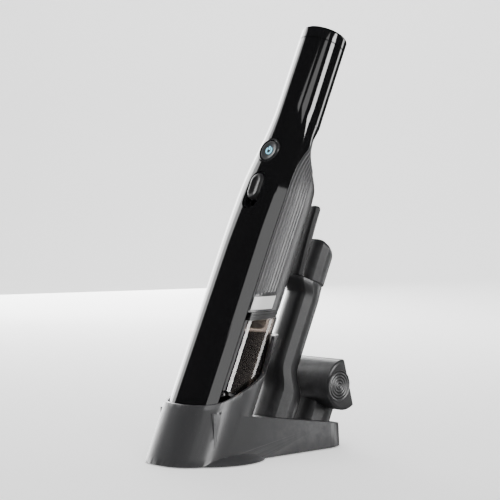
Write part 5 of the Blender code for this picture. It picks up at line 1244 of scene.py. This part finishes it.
HUB_RADIUS, HUB_SETBACK, HUB_THICKNESS = 0.0140, 0.0090, 0.0012
for side, name in ((1, "right"), (-1, "left")):
    base = PET_HALF + FIT
    ripple = [(HUB_RADIUS, 0.0), (HUB_RADIUS, 0.0007), (HUB_RADIUS - 0.0005, 0.0012)]
    for i in range(1, 37):
        radius = (HUB_RADIUS - 0.0005) * (1 - i / 37)
        sink = 0.00045 * (0.5 - 0.5 * math.cos(2 * math.pi * 5 * i / 36))
        ripple.append((radius, HUB_THICKNESS - sink))
    rings = [
        [
            Vector((side * (base + x), PET_Y - HUB_SETBACK + radius * math.cos(a), PET_Z + radius * math.sin(a)))
            for a in around(64)
        ]
        for radius, x in ripple
    ]
    hub = block(f"cheek_disc_{name}", rings, UPRIGHT, TOOL_GREY, sharp=50.0)
    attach(hub, "pet_tool")
    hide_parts(f"pet_hub_cap_{name}")

pad_half = PET_HALF - PET_WALL - 0.0045
for number in (1, 2):
    low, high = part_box(f"pet_bristles_{number}")
    centre = Vector((0.0, FOOT_Y + PET_Y, PET_Z))
    middle = Vector((0.0, (low[1] + high[1]) / 2, (low[2] + high[2]) / 2))
    out = (middle - centre).normalized()
    beside = Vector((0.0, -out.z, out.y)) * 0.0010
    base = centre + out * 0.0085
    corners = ((-pad_half, -1), (-pad_half, 1), (pad_half, 1), (pad_half, -1))
    points = [base + Vector((x, 0, 0)) + beside * w for x, w in corners]
    pad = bristle_pad(f"pet_row_{number}", points, out, Matrix())
    grow(pad, BRISTLES, length=0.0062, radius=0.00022, spacing=0.00055, splay=0.14, seed=10 + number, finish=BRISTLE)
    settle(pad)
    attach(pad, "pet_brush_bar")
refinish(BRISTLE, "pet_bristles_1", "pet_bristles_2")
refinish(MATTE_BLACK, "pet_brush_bar")

# ---- the parts inside ----------------------------------------------------------------------------------------------
# What shows through the smoked cup and through the openings: inlet duct and flap, filter, motor and fan, the cells in
# their cradle and the boards, each in the finish of its own material.
CELL_WRAP = moulded_plastic(
    "heat-shrink wrap", (0.070, 0.180, 0.400), (0.20, 0.35, 0.60), 0.30, grain=700.0, depth=0.010, mottle=0.2, rub=0.2,
)
FILTER_PAPER = moulded_plastic(
    "pleated filter paper", (0.46, 0.45, 0.42), (0.60, 0.60, 0.57), 0.85,
    grain=1600.0, depth=0.060, mottle=0.25, rub=0.3, dust=0.4,
)
refinish(MATTE_BLACK, "cup_door", "inlet_duct", "filter_plate", "motor_case", "battery_cradle", "button_switch")
refinish(RUBBER, "inlet_flap", "door_seal", "motor_seal")
refinish(STEEL, "door_hinge_pin", "motor", "eject_rod")
refinish(TOOL_GREY, "fan_rotor")
refinish(FILTER_PAPER, "pleated_filter")
refinish(CELL_WRAP, "battery_cell_1", "battery_cell_2")
refinish(BOARD_GREEN, "control_board")

low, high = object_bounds()
